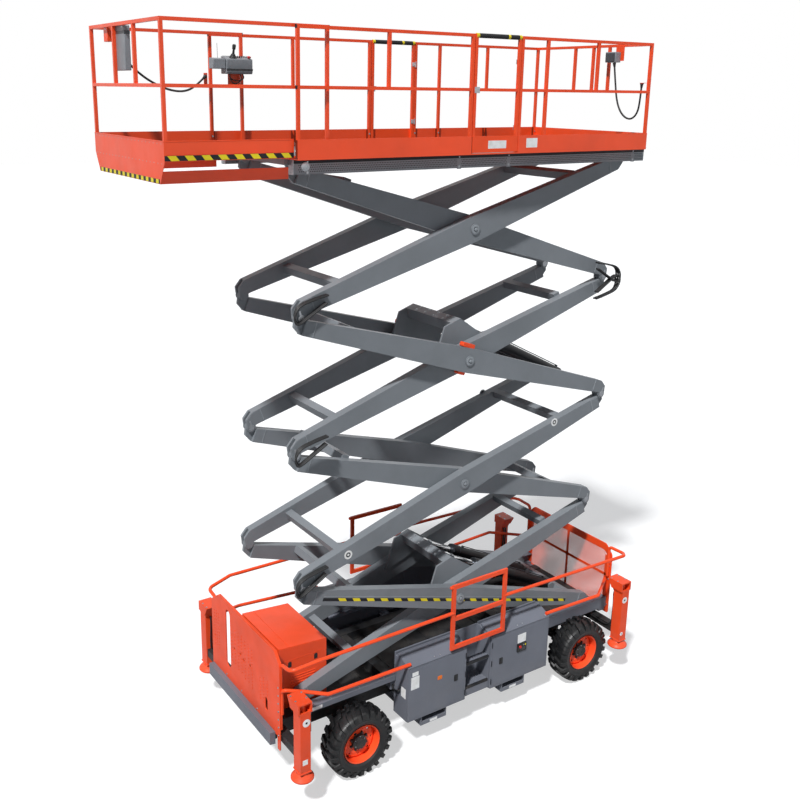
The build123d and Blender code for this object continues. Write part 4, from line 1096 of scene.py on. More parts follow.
def make_arms():
    """End plates, seam strips with a painted highlight, pin heads and keepers of every arm pair."""
    foot = [(-HALF + 0.17, 0.012), (-HALF + 0.03, 0.006), (-HALF - 0.044, 0.014), (-HALF - 0.026, 0.104),
            (-HALF + 0.064, 0.159), (-HALF + 0.17, 0.159)]
    head = [(HALF - 0.19, -0.159), (HALF - 0.069, -0.159), (HALF - 0.069, -0.011), (HALF - 0.19, -0.003)]
    for kind, stack, body in arm_pairs():
        place = on_arm(kind, stack)
        plates, seam_highlights, pins = Shape(), Shape(), Shape()
        faces = [(ARM_FACE[kind], 0.004 if kind == "outer" else 0.002, 1)]
        if kind == "inner":
            faces.append((INNER_FACE, 0.003, -1))
        for face, thick, way in faces:
            for end_plate in (foot, head):
                plates.prism(end_plate, place, face - 0.001 * way, face + thick * way)
            # raised strips along the end plates' seams, in the lighter arm paint as a painted highlight
            for u, low, high in ((-HALF + 0.17, 0.012, 0.159), (HALF - 0.19, -0.159, -0.003)):
                bead = box_edge(u - 0.005, u + 0.005, low, high)
                seam_highlights.prism(bead, place, face - 0.001 * way, face + (thick + 0.0012) * way)
            if not (kind == "outer" and stack == 1):
                x, z = arm_point(kind, stack, -HALF, 0)
                stand = 0.007 if kind == "outer" else 0.0014
                pins.lathe((x, face + thick * way, z), (0, way, 0),
                           [(-0.002, 0.037), (stand * 0.7, 0.037), (stand, 0.034), (stand, 0)], 28)
                keeper = [(-HALF - 0.012, 0.03), (-HALF + 0.012, 0.03), (-HALF + 0.016, 0.085),
                          (-HALF - 0.004, 0.085)]
                pins.prism(keeper, place, face + thick * way * 0.9, face + (thick + stand * 0.6) * way)
        for shape, label, finish in (
                (plates, "end_plates", "arm"), (seam_highlights, "weld_beads", "arm_light"), (pins, "pins", "zinc")):
            if shape.bm.verts:
                shape.mirror().done(f"{body}_{label}", body, finish, "arm_paint",
                                    bevel=0.0012 if label == "end_plates" else 0)
            else:
                shape.bm.free()
    for stack in STACKS:
        x, z = arm_point("inner", stack, 0, 0)
        cap = Shape()
        y = HIGH["inner_arms_2"].y
        cap.lathe((x, y, z), (0, 1, 0), [
            (-0.001, 0.052), (0.002, 0.05), (0.003, 0.03), (0.0, 0.026), (0.0, 0.022)], 40)
        cap.lathe((x, y, z), (0, 1, 0), [(-0.001, 0.021), (0.009, 0.021), (0.011, 0.017), (0.011, 0)], 6)
        cap.mirror().done(f"centre_caps_{stack}", f"inner_arms_{stack}", "arm_light")


def hazard_band():
    """Slanted yellow blocks on a black band along the outer faces of the lowest outer arms."""
    place = on_arm("outer", 1)
    face = OUTER_FACE
    slope, start, end, height = -0.0375, -HALF + 0.42, HALF - 0.3, 0.038

    def strip(low, high):
        return [(start, middle(start) + low), (end, middle(end) + low), (end, middle(end) + high),
                (start, middle(start) + high)]

    def middle(u):
        return slope * u - 0.02

    base = Shape().prism(strip(-height / 2, height / 2), place, face - 0.001, face + 0.0008)
    base.mirror().done("hazard_band_base", "outer_arms_1", "black", "arm_paint")
    # a raised line above the band in the lighter arm paint: a painted highlight along the arm's fold
    line = Shape().prism(strip(0.033, 0.041), place, face - 0.001, face + 0.0025)
    line.mirror().done("lower_arm_fold", "outer_arms_1", "arm_light", bevel=0.0008)
    length = sizes().stripe_length
    marks = []
    for i in range(int((end - start) / (2 * length))):
        u = start + 0.02 + i * 2 * length
        x, z = arm_point("outer", 1, u, middle(u))
        marks.append(((x, face + 0.0008, z), (0, -TILT - slope, 0)))
    stripes_on_both_sides("hazard_band", "outer_arms_1", length, height - 0.002, 0.03, marks, "arm_paint")


def make_arm_details():
    """Hose guards over and under the third stack's centre, and round blank decals on the outer arms."""
    guards = Shape()
    place = on_arm("outer", 3)
    for u0, u1, v0, v1 in ((-0.03, 0.15, 0.14, 0.192), (0.0, 0.11, -0.18, -0.14)):
        guards.prism(rounded(box_edge(u0, u1, v0, v1), 0.016, 4), place, 0.615, 0.685)
    guards.mirror().done("hose_guards", "outer_arms_3", "orange", bevel=0.004)
    decals = Shape()
    for u, v in ((-1.7, 0.065), (1.5, 0.03)):
        for radius, tint, stand in ((0.052, 0, 0.0008), (0.03, 1, 0.0014), (0.014, 0, 0.0019)):
            ring = [(u + radius * cos(2 * pi * i / 36), v + radius * sin(2 * pi * i / 36)) for i in range(36)]
            decals.prism(ring, on_arm("outer", 2), OUTER_FACE - 0.0003, OUTER_FACE + stand, tint)
    decals.mirror().done("arm_decals", "outer_arms_2", "label dark_plastic")


HOSE_LOOPS = (("inner", 3, 1), ("inner", 4, -1), ("outer", 2, -1), ("inner", 3, -1), ("outer", 4, -1))


def make_hoses():
    """Hydraulic hoses clipped along the inner arms, with their loops past the pivots."""
    radius = sizes().hose
    for stack in STACKS:
        body = f"inner_arms_{stack}"
        run, clamps = Shape(), Shape()
        # the lowest pair passes the hood, and the even pairs fold down over a cylinder beam
        spans = {1: ((2, 13),), 3: ((0, 13),)}.get(stack, ((0, 5), (9, 13)))
        for lane in (0.0, 0.026):
            for first, last in spans:
                points = []
                for u in [-HALF + 0.3 + i * 0.32 for i in range(first, last)]:
                    sag = 0.006 * (1 if int(u * 10) % 2 else -1)
                    x, z = arm_point("inner", stack, u, arm_edge(u)[0] + 0.034 + lane + sag)
                    points.append((x, INNER_FACE - 0.016 - radius * 0.3, z))
                run.hose(points, radius, 8, smooth=3)
        for u in [-HALF + 0.42 + i * 0.32 for first, last in spans for i in range(first, last - 1, 2)]:
            low = arm_edge(u)[0]
            clamps.prism(box_edge(u - 0.014, u + 0.014, low + 0.008, low + 0.09), on_arm("inner", stack),
                         0.4735, 0.443)
        run.done(f"hoses_{stack}", body, "hose", corner=60)
        clamps.done(f"hose_clamps_{stack}", body, "zinc", "arm_paint", bevel=0.002)
    for number, (kind, stack, end) in enumerate(HOSE_LOOPS):
        body = f"{kind}_arms_{stack}"
        loops = Shape()
        for lane in (0, 1, 2):
            y = OUTER_FACE + 0.016 + 0.023 * lane
            reach = 0.075 + 0.014 * lane
            u = end * HALF
            v = -end
            route = [
                (u - end * 0.3, v * 0.05), (u - end * 0.14, v * 0.015), (u + end * reach * 0.6, v * -0.02),
                (u + end * reach, v * 0.03), (u + end * reach * 0.7, v * 0.1), (u - end * 0.02, v * 0.15),
                (u - end * 0.2, v * 0.14), (u - end * 0.34, v * 0.12)]
            place = on_arm(kind, stack)
            loops.hose([place(a, b, y) for a, b in route], radius, 8, smooth=5)
        loops.done(f"hose_loops_{number + 1}", body, "hose", corner=60)


CYLINDER_Y = 0.235


def make_cylinders():
    """Gland nuts, bands, port blocks, hard lines, rod collars and beam covers of the lift cylinders."""
    for stack, which in ((1, "lower"), (3, "upper")):
        foot = arm_point("outer", stack, -HALF + 0.304, 0.08)
        eye = arm_point("inner", stack, 0.25, 0.25)
        start = Vector((foot[0], 0, foot[1]))
        way = Vector((eye[0], 0, eye[1])) - start
        length = way.length
        way.normalize()
        up = Vector((-way.z, 0, way.x))
        if up.z < 0:
            up = -up
        barrel, rod = Shape(), Shape()
        near = start + Vector((0, CYLINDER_Y, 0))
        gland = near + way * 1.52
        barrel.lathe(gland, way, [
            (0.001, 0.082), (0.018, 0.082), (0.022, 0.078), (0.022, 0.0395), (0.001, 0.0395)], 8, closed=True)
        barrel.lathe(near + way * 1.42, way, [(0.0, 0.0805), (0.0, 0.084), (0.012, 0.084), (0.012, 0.0805)],
                     36, closed=True)
        for distance in (0.16, 1.34):
            block_at = near + way * distance + up * 0.07
            barrel.rod(block_at, block_at + up * 0.016, 0.02, 6)
            barrel.rod(block_at + up * 0.014, block_at + up * 0.021, 0.013, 12)
        barrel.hose([near + way * (0.18 + i * 0.285) + up * height
                     for i, height in enumerate((0.085, 0.086, 0.0845, 0.085, 0.085))], 0.006, 8, smooth=4)
        rod.lathe(near + way * (length - 0.075), way,
                  [(0, 0.0385), (0.004, 0.047), (0.03, 0.047), (0.034, 0.0385)], 30, closed=True)
        barrel.mirror().done(f"{which}_cylinder_fittings", f"{which}_cylinder_barrels", "dark_steel")
        rod.mirror().done(f"{which}_rod_collars", f"{which}_cylinder_rods", "zinc", "rod_chrome")
        # the cover of the beam that holds the rod eyes, with its bolts
        seat = Shape()
        place = on_arm("inner", stack)
        seat.prism(box_edge(0.05, 0.17, 0.4165, 0.4205), place, -0.3, 0.3)
        seat.done(f"{which}_eye_beam_cover", f"inner_arms_{stack}", "arm_light", bevel=0.0015)
        marks = []
        for u in (0.075, 0.145):
            for y in (-0.26, -0.09, 0.09, 0.26):
                marks.append((place(u, 0.4205, y), (0, TILT, 0)))
        at_marks(f"{which}_eye_beam_bolts", f"inner_arms_{stack}", bolt(0.011), marks, "zinc", "arm_paint")


# ---- nose and rear panels
def sheet_with_holes(name, edge, holes, slots, x, thick):
    """A flat plate across the machine: its (y, z) edge, round holes (y, z, radius) and oblong slots."""
    curve = flat_curve(name, thick)
    outline(curve, edge)
    for y, z, radius in holes:
        circle(curve, y, z, radius, 14)
    for low_y, high_y, low_z, high_z in slots:
        rounding = min(high_y - low_y, high_z - low_z) / 2 * 0.98
        corners = []
        for cy, cz, first in (
                (high_y - rounding, high_z - rounding, 0), (low_y + rounding, high_z - rounding, 1),
                (low_y + rounding, low_z + rounding, 2), (high_y - rounding, low_z + rounding, 3)):
            for step in range(7):
                turn = pi / 2 * (first + step / 6)
                corners.append((cy + rounding * cos(turn), cz + rounding * sin(turn)))
        outline(curve, corners)
    return mesh_piece(name, cross_plate(curve, x), "chassis", "orange_road")


def rounded(points, radius, steps=5):
    """An outline with its corners rounded."""
    result = []
    count = len(points)
    for i, (x, y) in enumerate(points):
        here = Vector((x, y))
        before = Vector(points[i - 1]) - here
        after = Vector(points[(i + 1) % count]) - here
        reach = min(radius, before.length / 2.2, after.length / 2.2)
        a, b = here + before.normalized() * reach, here + after.normalized() * reach
        for step in range(steps + 1):
            t = step / steps
            point = a * (1 - t) ** 2 + here * 2 * t * (1 - t) + b * t * t
            result.append((point.x, point.y))
    return result


def make_front_plate():
    """The nose guard with its ventilation holes, folded edges and bolts."""
    low, high = 0.7, HIGH["front_guard_plate"].z
    left, right = HIGH["front_guard_plate"].y, LOW["front_guard_plate"].y
    edge = rounded([
        (right, low), (left - 0.06, low), (left - 0.06, low - 0.165), (left, low - 0.165),
        (left, high - 0.12), (left - 0.12, high), (right + 0.2, high), (right, high - 0.145)], 0.022)
    hole = sizes().hole
    holes = []
    for column in range(7):
        y = 0.19 - column * 0.087
        for row in range(12 - (column > 4) - 2 * (column > 5)):
            holes.append((y, 0.95 + row * 0.0435 + 0.02 * (column % 2) + 0.012 * column, hole))
    for column in range(3):
        y = 0.56 - column * 0.085
        for row in range(9 - column):
            z = 0.9 + row * 0.0435 + 0.02 * (column % 2) + 0.02 * column
            if not (0.49 < y < 0.575 and z < 1.06):
                holes.append((y, z, hole))
    for column in range(3):
        y = -0.69 - column * 0.06
        for row in range(12):
            holes.append((y, 1.0 + row * 0.042 + 0.02 * (column % 2), hole * 0.9))
    # four larger holes among the rows take the place of those they meet
    large = [(-0.27, 1.215), (-0.108, 1.23), (-0.029, 1.195), (0.142, 1.215)]
    holes = [(y, z, r) for y, z, r in holes if all(hypot(y - a, z - b) > 0.042 for a, b in large)]
    holes += [(y, z, 0.021) for y, z in large]
    slots = [(-0.49, -0.375, low + 0.185, high - 0.085), (0.504, 0.56, 0.87, 1.03)]
    plate = sheet_with_holes("front_plate", edge, holes, slots, PLATE_X - 0.006, 0.0118)
    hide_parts("front_guard_plate")
    # thin black sheets behind the rows of holes: painted shade for the dark inside seen through them
    shade_sheets = Shape()
    for y0, y1, z0, z1 in ((-0.37, 0.225, 0.915, 1.5), (0.375, 0.49, 0.885, 1.29), (0.49, 0.6, 1.045, 1.29),
                           (-0.84, -0.66, 0.965, 1.5)):
        shade_sheets.prism(rounded(box_edge(y0, y1, z0, z1), 0.02, 3), forward, PLATE_X - 0.0145, PLATE_X - 0.0125)
    shade_sheets.done("front_plate_mats", "chassis", "foam")
    # a folded lip round the upper edge, standing back from the plate
    lip = Shape()
    rim = [(left, low + 0.1), (left, high - 0.12), (left - 0.12, high), (right + 0.2, high),
           (right, high - 0.145), (right, low + 0.05)]
    for (ya, za), (yb, zb) in zip(rim, rim[1:]):
        inward = Vector((-(zb - za), yb - ya)).normalized()
        if inward.dot(Vector((0 - ya, 1.1 - za))) < 0:
            inward = -inward
        corners = [(ya, za), (yb, zb), (yb + inward.x * 0.006, zb + inward.y * 0.006),
                   (ya + inward.x * 0.006, za + inward.y * 0.006)]
        lip.prism(corners, forward, PLATE_X - 0.034, PLATE_X - 0.011)
    lip.done("front_plate_lip", "chassis", "orange_road")
    marks = [((PLATE_X - 0.0002, left - 0.03, low + 0.02 + 0.1 * i), FACING["front"]) for i in range(7)]
    marks += [((PLATE_X - 0.0002, y, low + 0.05), FACING["front"]) for y in (0.3, -0.1, -0.5)]
    at_marks("front_plate_bolts", "chassis", bolt(0.008, 0.006), marks, "zinc", "orange_paint")


def make_rear_panel():
    """The rear guard: a fine open mesh in a folded frame with stiffening bars."""
    x = LOW["rear_guard_panel"].x + 0.006
    low, high = LOW["rear_guard_panel"].z, HIGH["rear_guard_panel"].z
    side = HIGH["rear_guard_panel"].y
    corner = 0.12
    edge = [(-side, low), (side, low), (side, high - corner), (side - corner, high), (-side + corner, high),
            (-side, high - corner)]
    inset = 0.075
    hole = [(-side + inset, low + inset), (side - inset, low + inset), (side - inset, high - corner - 0.03),
            (side - corner - 0.03, high - 0.1), (-side + corner + 0.03, high - 0.1),
            (-side + inset, high - corner - 0.03)]
    curve = flat_curve("rear_frame", 0.0118)
    outline(curve, rounded(edge, 0.03))
    outline(curve, rounded(hole, 0.02))
    panel = mesh_piece("rear_panel_frame", cross_plate(curve, x), "chassis", "orange_road")
    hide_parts("rear_guard_panel")
    pitch, bar = 0.0135, 0.0046
    rows = int((high - low - 2 * inset) / pitch)
    columns = int((2 * side - 2 * inset) / pitch)
    unit = Shape().block(about(0, 0.0006), (-side + inset * 0.9, side - inset * 0.9), about(0, bar / 2))
    levels = in_row("rear_mesh_levels", "chassis", unit, rows, (x, 0, low + inset + pitch / 2), (0, 0, pitch),
                    "orange_road")
    unit = Shape().block(about(0, 0.0009), about(0, bar / 2), (low + inset * 0.9, high - 0.095))
    uprights = in_row("rear_mesh_uprights", "chassis", unit, columns, (x, -side + inset + pitch / 2, 0),
                      (0, pitch, 0), "orange_road")
    for piece in (levels, uprights):
        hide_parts("rear_guard_panel")
    stiff = Shape()
    for y0, y1, z0, z1 in ((-side + 0.06, side - 0.06, 1.17, 1.21), (-0.02, 0.02, low + 0.06, high - 0.09), (
            -side + 0.07, -side + 0.12, low + 0.05,
            high - 0.16), (side - 0.12, side - 0.07, low + 0.05, high - 0.16)):
        stiff.block((x + 0.003, x + 0.0065), (y0, y1), (z0, z1))
    stiff.done("rear_panel_stiffeners", "chassis", "orange_road", bevel=0.001)
    marks = [((x + 0.0058, y, z), FACING["front"]) for y in about(0, side - 0.035)
             for z in (low + 0.12, low + 0.5, high - 0.3)]
    at_marks("rear_panel_bolts", "chassis", bolt(0.009, 0.007), marks, "zinc", "orange_paint")


def make_hood():
    """The hood's folded lid edges, seams, latches and side vents."""
    x0, x1 = LOW["hood_lid"].x, HIGH["hood_lid"].x
    y = HIGH["hood_lid"].y
    z0, z1 = LOW["hood_lid"].z, HIGH["hood_lid"].z
    lid = Shape()
    # the lid's raised rear panel leaves a seam ahead of it, and both follow its slope
    fall = 0.05
    slope = fall / (x1 - x0)
    for a, b in ((x0 + 0.002, x1 - 0.14), (x1 - 0.134, x1 - 0.002)):
        low_a, low_b = z1 - slope * (x1 - a), z1 - slope * (x1 - b)
        lid.prism([(a, low_a - 0.001), (b, low_b - 0.001), (b, low_b + 0.0035), (a, low_a + 0.0035)], across,
                  -y + 0.002, y - 0.002)
    lid.done("hood_lid_panels", "hood_lid", "orange", bevel=0.0015)
    trim = Shape().block((x0 - 0.002, x1 + 0.002), (-y - 0.002, y + 0.002), (z0 + 0.004, z0 + 0.012))
    trim.done("hood_lid_fold", "hood_lid", "orange", bevel=0.001)
    latch = Shape()
    for way in (1, -1):
        for x in (x0 + 0.12, x1 - 0.16):
            latch.block((x, x + 0.045), (way * y, way * (y + 0.003)), (z0 - 0.075, z0 - 0.012))
            latch.block((x + 0.012, x + 0.033), (way * (y + 0.002), way * (y + 0.0055)),
                        (z0 - 0.06, z0 - 0.004))
    latch.done("hood_latches", "chassis", "black_plastic", bevel=0.002)

    def louvre(way):
        return Shape().prism(
            [(0, 0), (way * 0.006, -0.004), (way * 0.006, -0.01), (0, -0.022)], forward, -0.16, 0.16)

    rows_on_both_sides(
        "hood_louvres", "chassis", louvre, 9, ((x0 + x1) / 2, y - 0.0005, z0 - 0.2), (0, 0, -0.033), "orange")


def make_bumper():
    """The nose bar's folded upper lip and its bolts."""
    low, high = LOW["front_bumper"], HIGH["front_bumper"]
    trim = Shape().block(
        (low.x + 0.004, high.x - 0.001), (low.y + 0.001, high.y - 0.001), (high.z - 0.001, high.z + 0.003))
    trim.block((high.x - 0.0015, high.x - 0.0001), (low.y + 0.001, high.y - 0.001),
               (high.z - 0.03, high.z - 0.002))
    trim.done("bumper_lip", "chassis", "grey", bevel=0.001)
    marks = [((high.x - 0.0045, y, (low.z + high.z) / 2 + z), FACING["front"])
             for y in (-0.7, -0.25, 0.2, 0.62) for z in (-0.035, 0.03)]
    at_marks("bumper_bolts", "chassis", bolt(0.01, 0.0032, 1.2), marks, "grey")


# ---- cabinets, steps and outriggers
LABEL_THICK = 0.0008
SIDE_LABELS = (           # door end, x, z, width, height, finish, stand-off
    ("front", 1.003, 0.935, 0.118, 0.165, "label", LABEL_THICK),
    ("front", 1.003, 1.052, 0.088, 0.052, "label", LABEL_THICK),
    ("rear", -0.643, 0.985, 0.136, 0.12, "label", LABEL_THICK),
    ("rear", -0.641, 0.862, 0.15, 0.112, "black_plastic", 0.012),
    ("rear", -0.655, 0.842, 0.085, 0.045, "dark_plastic", 0.015),
    ("rear", -0.665, 0.892, 0.018, 0.018, "zinc", 0.02),
    ("rear", -0.697, 0.888, 0.012, 0.024, "yellow", 0.018),
)
LATCHES = (("front", 0.397, 0.79), ("rear", -0.311, 0.775))


def side_plate(shape, x, z, width, height, face, thick, corner=0.006):
    """A flat plate with rounded corners on a face of the left side."""
    a, b = at_x(x) - width / 2, z - height / 2
    edge = rounded(box_edge(a, a + width, b, b + height), corner, 3)
    shape.prism(edge, across, face - 0.0005, face + thick)


def make_doors():
    """Folded door panels, hinges, latches, blank labels and the ground control panel's parts."""
    for end in ENDS:
        low, high = LOW[f"{end}_left_cabinet_door"], HIGH[f"{end}_left_cabinet_door"]
        latch_x, latch_z = next((x, z) for which, x, z in LATCHES if which == end)
        for side, way in SIDES:
            body = f"{end}_{side}_cabinet_door"
            panel, latch, hinge = Shape(), Shape(), Shape()
            fold = 0.024
            edge = rounded(box_edge(low.x + fold, high.x - fold, low.z + fold, high.z - fold), 0.02)
            panel.prism(edge, across, high.y - 0.0005, high.y + 0.0016)
            side_plate(latch, latch_x, latch_z, 0.056, 0.088, high.y, 0.005, 0.01)
            side_plate(latch, latch_x, latch_z - 0.008, 0.03, 0.052, high.y + 0.005, 0.007, 0.008)
            latch.lathe((at_x(latch_x), high.y + 0.005, latch_z + 0.03), (0, 1, 0),
                        [(0, 0.011), (0.004, 0.011), (0.004, 0.004), (0.002, 0)], 20)
            for share in (0.14, 0.5, 0.86):
                z = low.z + (high.z - low.z) * share
                x = low.x + 0.006 if end == "front" else high.x - 0.006
                hinge.rod((x, high.y + 0.004, z - 0.035), (x, high.y + 0.004, z + 0.035), 0.006, 14)
            panel.flip(way).done(f"{body}_panel", body, "grey", bevel=0.0007)
            latch.flip(way).done(f"{body}_latch", body, "black_plastic", bevel=0.0012)
            hinge.flip(way).done(f"{body}_hinges", body, "dark_steel", "grey_paint")
            for number, (which, x, z, width, height, finish, thick) in enumerate(SIDE_LABELS):
                if which == end:
                    label = Shape()
                    side_plate(label, x, z, width, height, high.y + 0.0015, thick)
                    slot = "black_plastic" if "plastic" in finish else "box_plastic"
                    label.flip(way).done(f"{body}_label_{number}", body, finish, slot, bevel=0.0003)
            if end == "rear":
                knob = Shape().lathe((at_x(-0.6), high.y + 0.013, 0.884), (0, 1, 0), [
                    (0, 0), (0, 0.01), (0.012, 0.01), (0.013, 0.019), (0.022, 0.019), (0.025, 0.013),
                    (0.026, 0)], 28)
                knob.flip(way).done(f"{body}_stop_button", body, "red")
            else:
                badge = Shape()
                side_plate(badge, 0.641, 0.878, 0.066, 0.05, high.y + 0.001, 0.0024)
                side_plate(badge, 0.641, 0.878, 0.046, 0.032, high.y + 0.0034, 0.0014)
                badge.flip(way).done(f"{body}_reflector", body, "amber")


def make_cabinet_trim():
    """Lid seams and hinge line on the cabinets, end labels, a hose fitting and corner bolts."""
    top, shoulder = HIGH["cabinets"].z, HIGH["front_left_cabinet_door"].z + 0.018
    edge_y, bevel_y = CAB_Y, CAB_Y - 0.215
    spans = [(LOW[f"{end}_left_cabinet_door"].x - 0.004, HIGH[f"{end}_left_cabinet_door"].x + 0.004)
             for end in ENDS]
    lids, hinges = Shape(), Shape()
    for x0, x1 in spans:
        for a, b in ((x0 + 0.012, (x0 + x1) / 2 - 0.003), ((x0 + x1) / 2 + 0.003, x1 - 0.012)):
            sloped = [(edge_y - 0.012, shoulder + 0.004), (bevel_y + 0.01, top - 0.0045),
                      (bevel_y + 0.01, top - 0.002), (edge_y - 0.012, shoulder + 0.0065)]
            lids.prism(sloped, forward, a, b)
        hinges.rod((x0 + 0.02, bevel_y + 0.004, top + 0.002), (x1 - 0.02, bevel_y + 0.004, top + 0.002),
                   0.005, 12)
    for shape, name, finish in ((lids, "cabinet_lids", "grey"), (hinges, "cabinet_lid_hinges", "grey")):
        shape.mirror().done(name, "chassis", finish, "grey_paint", bevel=0.0006 if shape is lids else 0)
    front = spans[0][1]
    label, fitting = Shape(), Shape()
    edge = rounded(box_edge(0.945, 1.037, 0.72, 0.85), 0.006, 3)
    label.prism(edge, forward, front - 0.0005, front + LABEL_THICK)
    label.mirror().done("cabinet_end_labels", "chassis", "label")
    fitting.hose([(front + 0.002, 0.93, 0.79), (front + 0.03, 0.92, 0.78), (front + 0.04, 0.86, 0.765),
                  (front + 0.03, 0.81, 0.78), (front + 0.002, 0.8, 0.79)], 0.011, 10)
    fitting.mirror().done("cabinet_end_hoses", "chassis", "hose", corner=60)
    marks = [((x, edge_y - 0.03, shoulder + 0.017), (-radians(22.7), 0, 0)) for x0, x1 in spans
             for x in (x0 + 0.05, (x0 + x1) / 2 - 0.04, (x0 + x1) / 2 + 0.04, x1 - 0.05)]
    at_marks("cabinet_lid_bolts", "chassis", bolt(0.006, 0.004), mirrored_marks(marks), "zinc", "grey_paint")


def make_steps():
    """Raised grip rings and black nosings on the treads."""
    x0, x1 = LOW["steps"].x + 0.012, HIGH["steps"].x - 0.012
    y1 = HIGH["steps"].y
    lines = ((0.5722, y1 - 0.23, 6), (0.9002, y1 - 0.085, 2))
    grip = Shape().lathe(
        (0, 0, 0), (0, 0, 1), [(0, 0.013), (0.004, 0.0105), (0.004, 0.0075), (0, 0.006)], 14, closed=True)
    marks = []
    for z, y, rows in lines:
        for row in range(rows):
            for column in range(9):
                shift = 0.02 * (row % 2)
                marks.append(((x0 + 0.025 + shift + column * 0.038, y + row * 0.038, z), (0, 0, 0)))
    at_marks("tread_grips", "chassis", grip, mirrored_marks(marks), "grey")
    nosing = Shape()
    for z, y, rows in lines:
        nosing.block((x0, x1), (y1 - 0.022, y1 + 0.0012), (z - 0.001, z + 0.0012))
        nosing.block((x0, x1), (y1 - 0.0005, y1 + 0.0012), (z - 0.03, z))
    nosing.mirror().done("tread_nosings", "chassis", "black")


OUT_FACE_LABELS = (("front", -0.012, 1.125, 0.046), ("rear", 0.012, 1.112, 0.044),
                   ("rear", 0.02, 0.615, 0.026))


def make_outriggers():
    """Round blank decals, head bolts, foot collars and the hoses of the four outriggers."""
    face = OUT_Y + 0.075
    decals, collars, hoses = Shape(), Shape(), Shape()
    bolts = []
    for end in ENDS:
        x = MIDDLE[f"{end}_left_outrigger_leg"].x
        inward = -1 if end == "front" else 1
        for which, shift, z, radius in OUT_FACE_LABELS:
            if which == end:
                place = (x + shift, face, z)
                decals.lathe(place, (0, 1, 0), [(-0.0004, radius), (0.0008, radius), (0.0008, radius * 0.84)],
                             40, 0)
                decals.lathe(place, (0, 1, 0), [(0.0009, radius * 0.86), (0.0009, radius * 0.3)], 40, 1)
                decals.lathe(place, (0, 1, 0), [(0.0009, radius * 0.3), (0.0009, 0)], 24, 2)
        if end == "front":
            side_plate(decals, x + 0.006 - MID_X, 0.646, 0.062, 0.062, face, LABEL_THICK, 0.004)
        low = LOW["outrigger_housings"].z
        collars.block(about(x, 0.07), (OUT_Y - 0.0825, OUT_Y + 0.0825), (low, low + 0.014))
        for dx in (-0.066, 0.066):
            bolts.append(((x + dx, OUT_Y - 0.02, HIGH["outrigger_housings"].z), FACING["up"]))
            bolts.append(((x + dx, OUT_Y - 0.13, HIGH["outrigger_housings"].z), FACING["up"]))
        for lane in (0, 1):
            y = OUT_Y - 0.075 - 0.016
            place = x + inward * 0.035 * lane
            hoses.hose([(place, y + 0.02, 1.19), (place, y - 0.006, 1.15), (place, y, 1.0),
                        (place + 0.006, y + 0.002, 0.84), (place, y - 0.012, 0.72),
                        (place + inward * 0.02, y - 0.06, 0.66), (place + inward * 0.03, y - 0.16, 0.655),
                        (place + inward * 0.03, y - 0.4, 0.67)], 0.01, 8, smooth=5)
    decals.mirror().done("outrigger_decals", "chassis", "label label black")
    collars.mirror().done("outrigger_collars", "chassis", "orange_road", bevel=0.002)
    hoses.mirror().done("outrigger_hoses", "chassis", "hose", corner=60)
    at_marks("outrigger_head_bolts", "chassis", bolt(0.008), mirrored_marks(bolts), "zinc", "orange_paint")
    for body in [f"{end}_{side}_outrigger_leg" for end in ENDS for side, _ in SIDES]:
        foot = (MIDDLE[body].x, MIDDLE[body].y, LOW[body].z)
        ring = Shape().lathe(
            foot, (0, 0, 1), [(0.08, 0.06), (0.098, 0.06), (0.098, 0.069), (0.078, 0.072)], 40, closed=True)
        ring.done(f"{body}_collar", body, "orange_road")


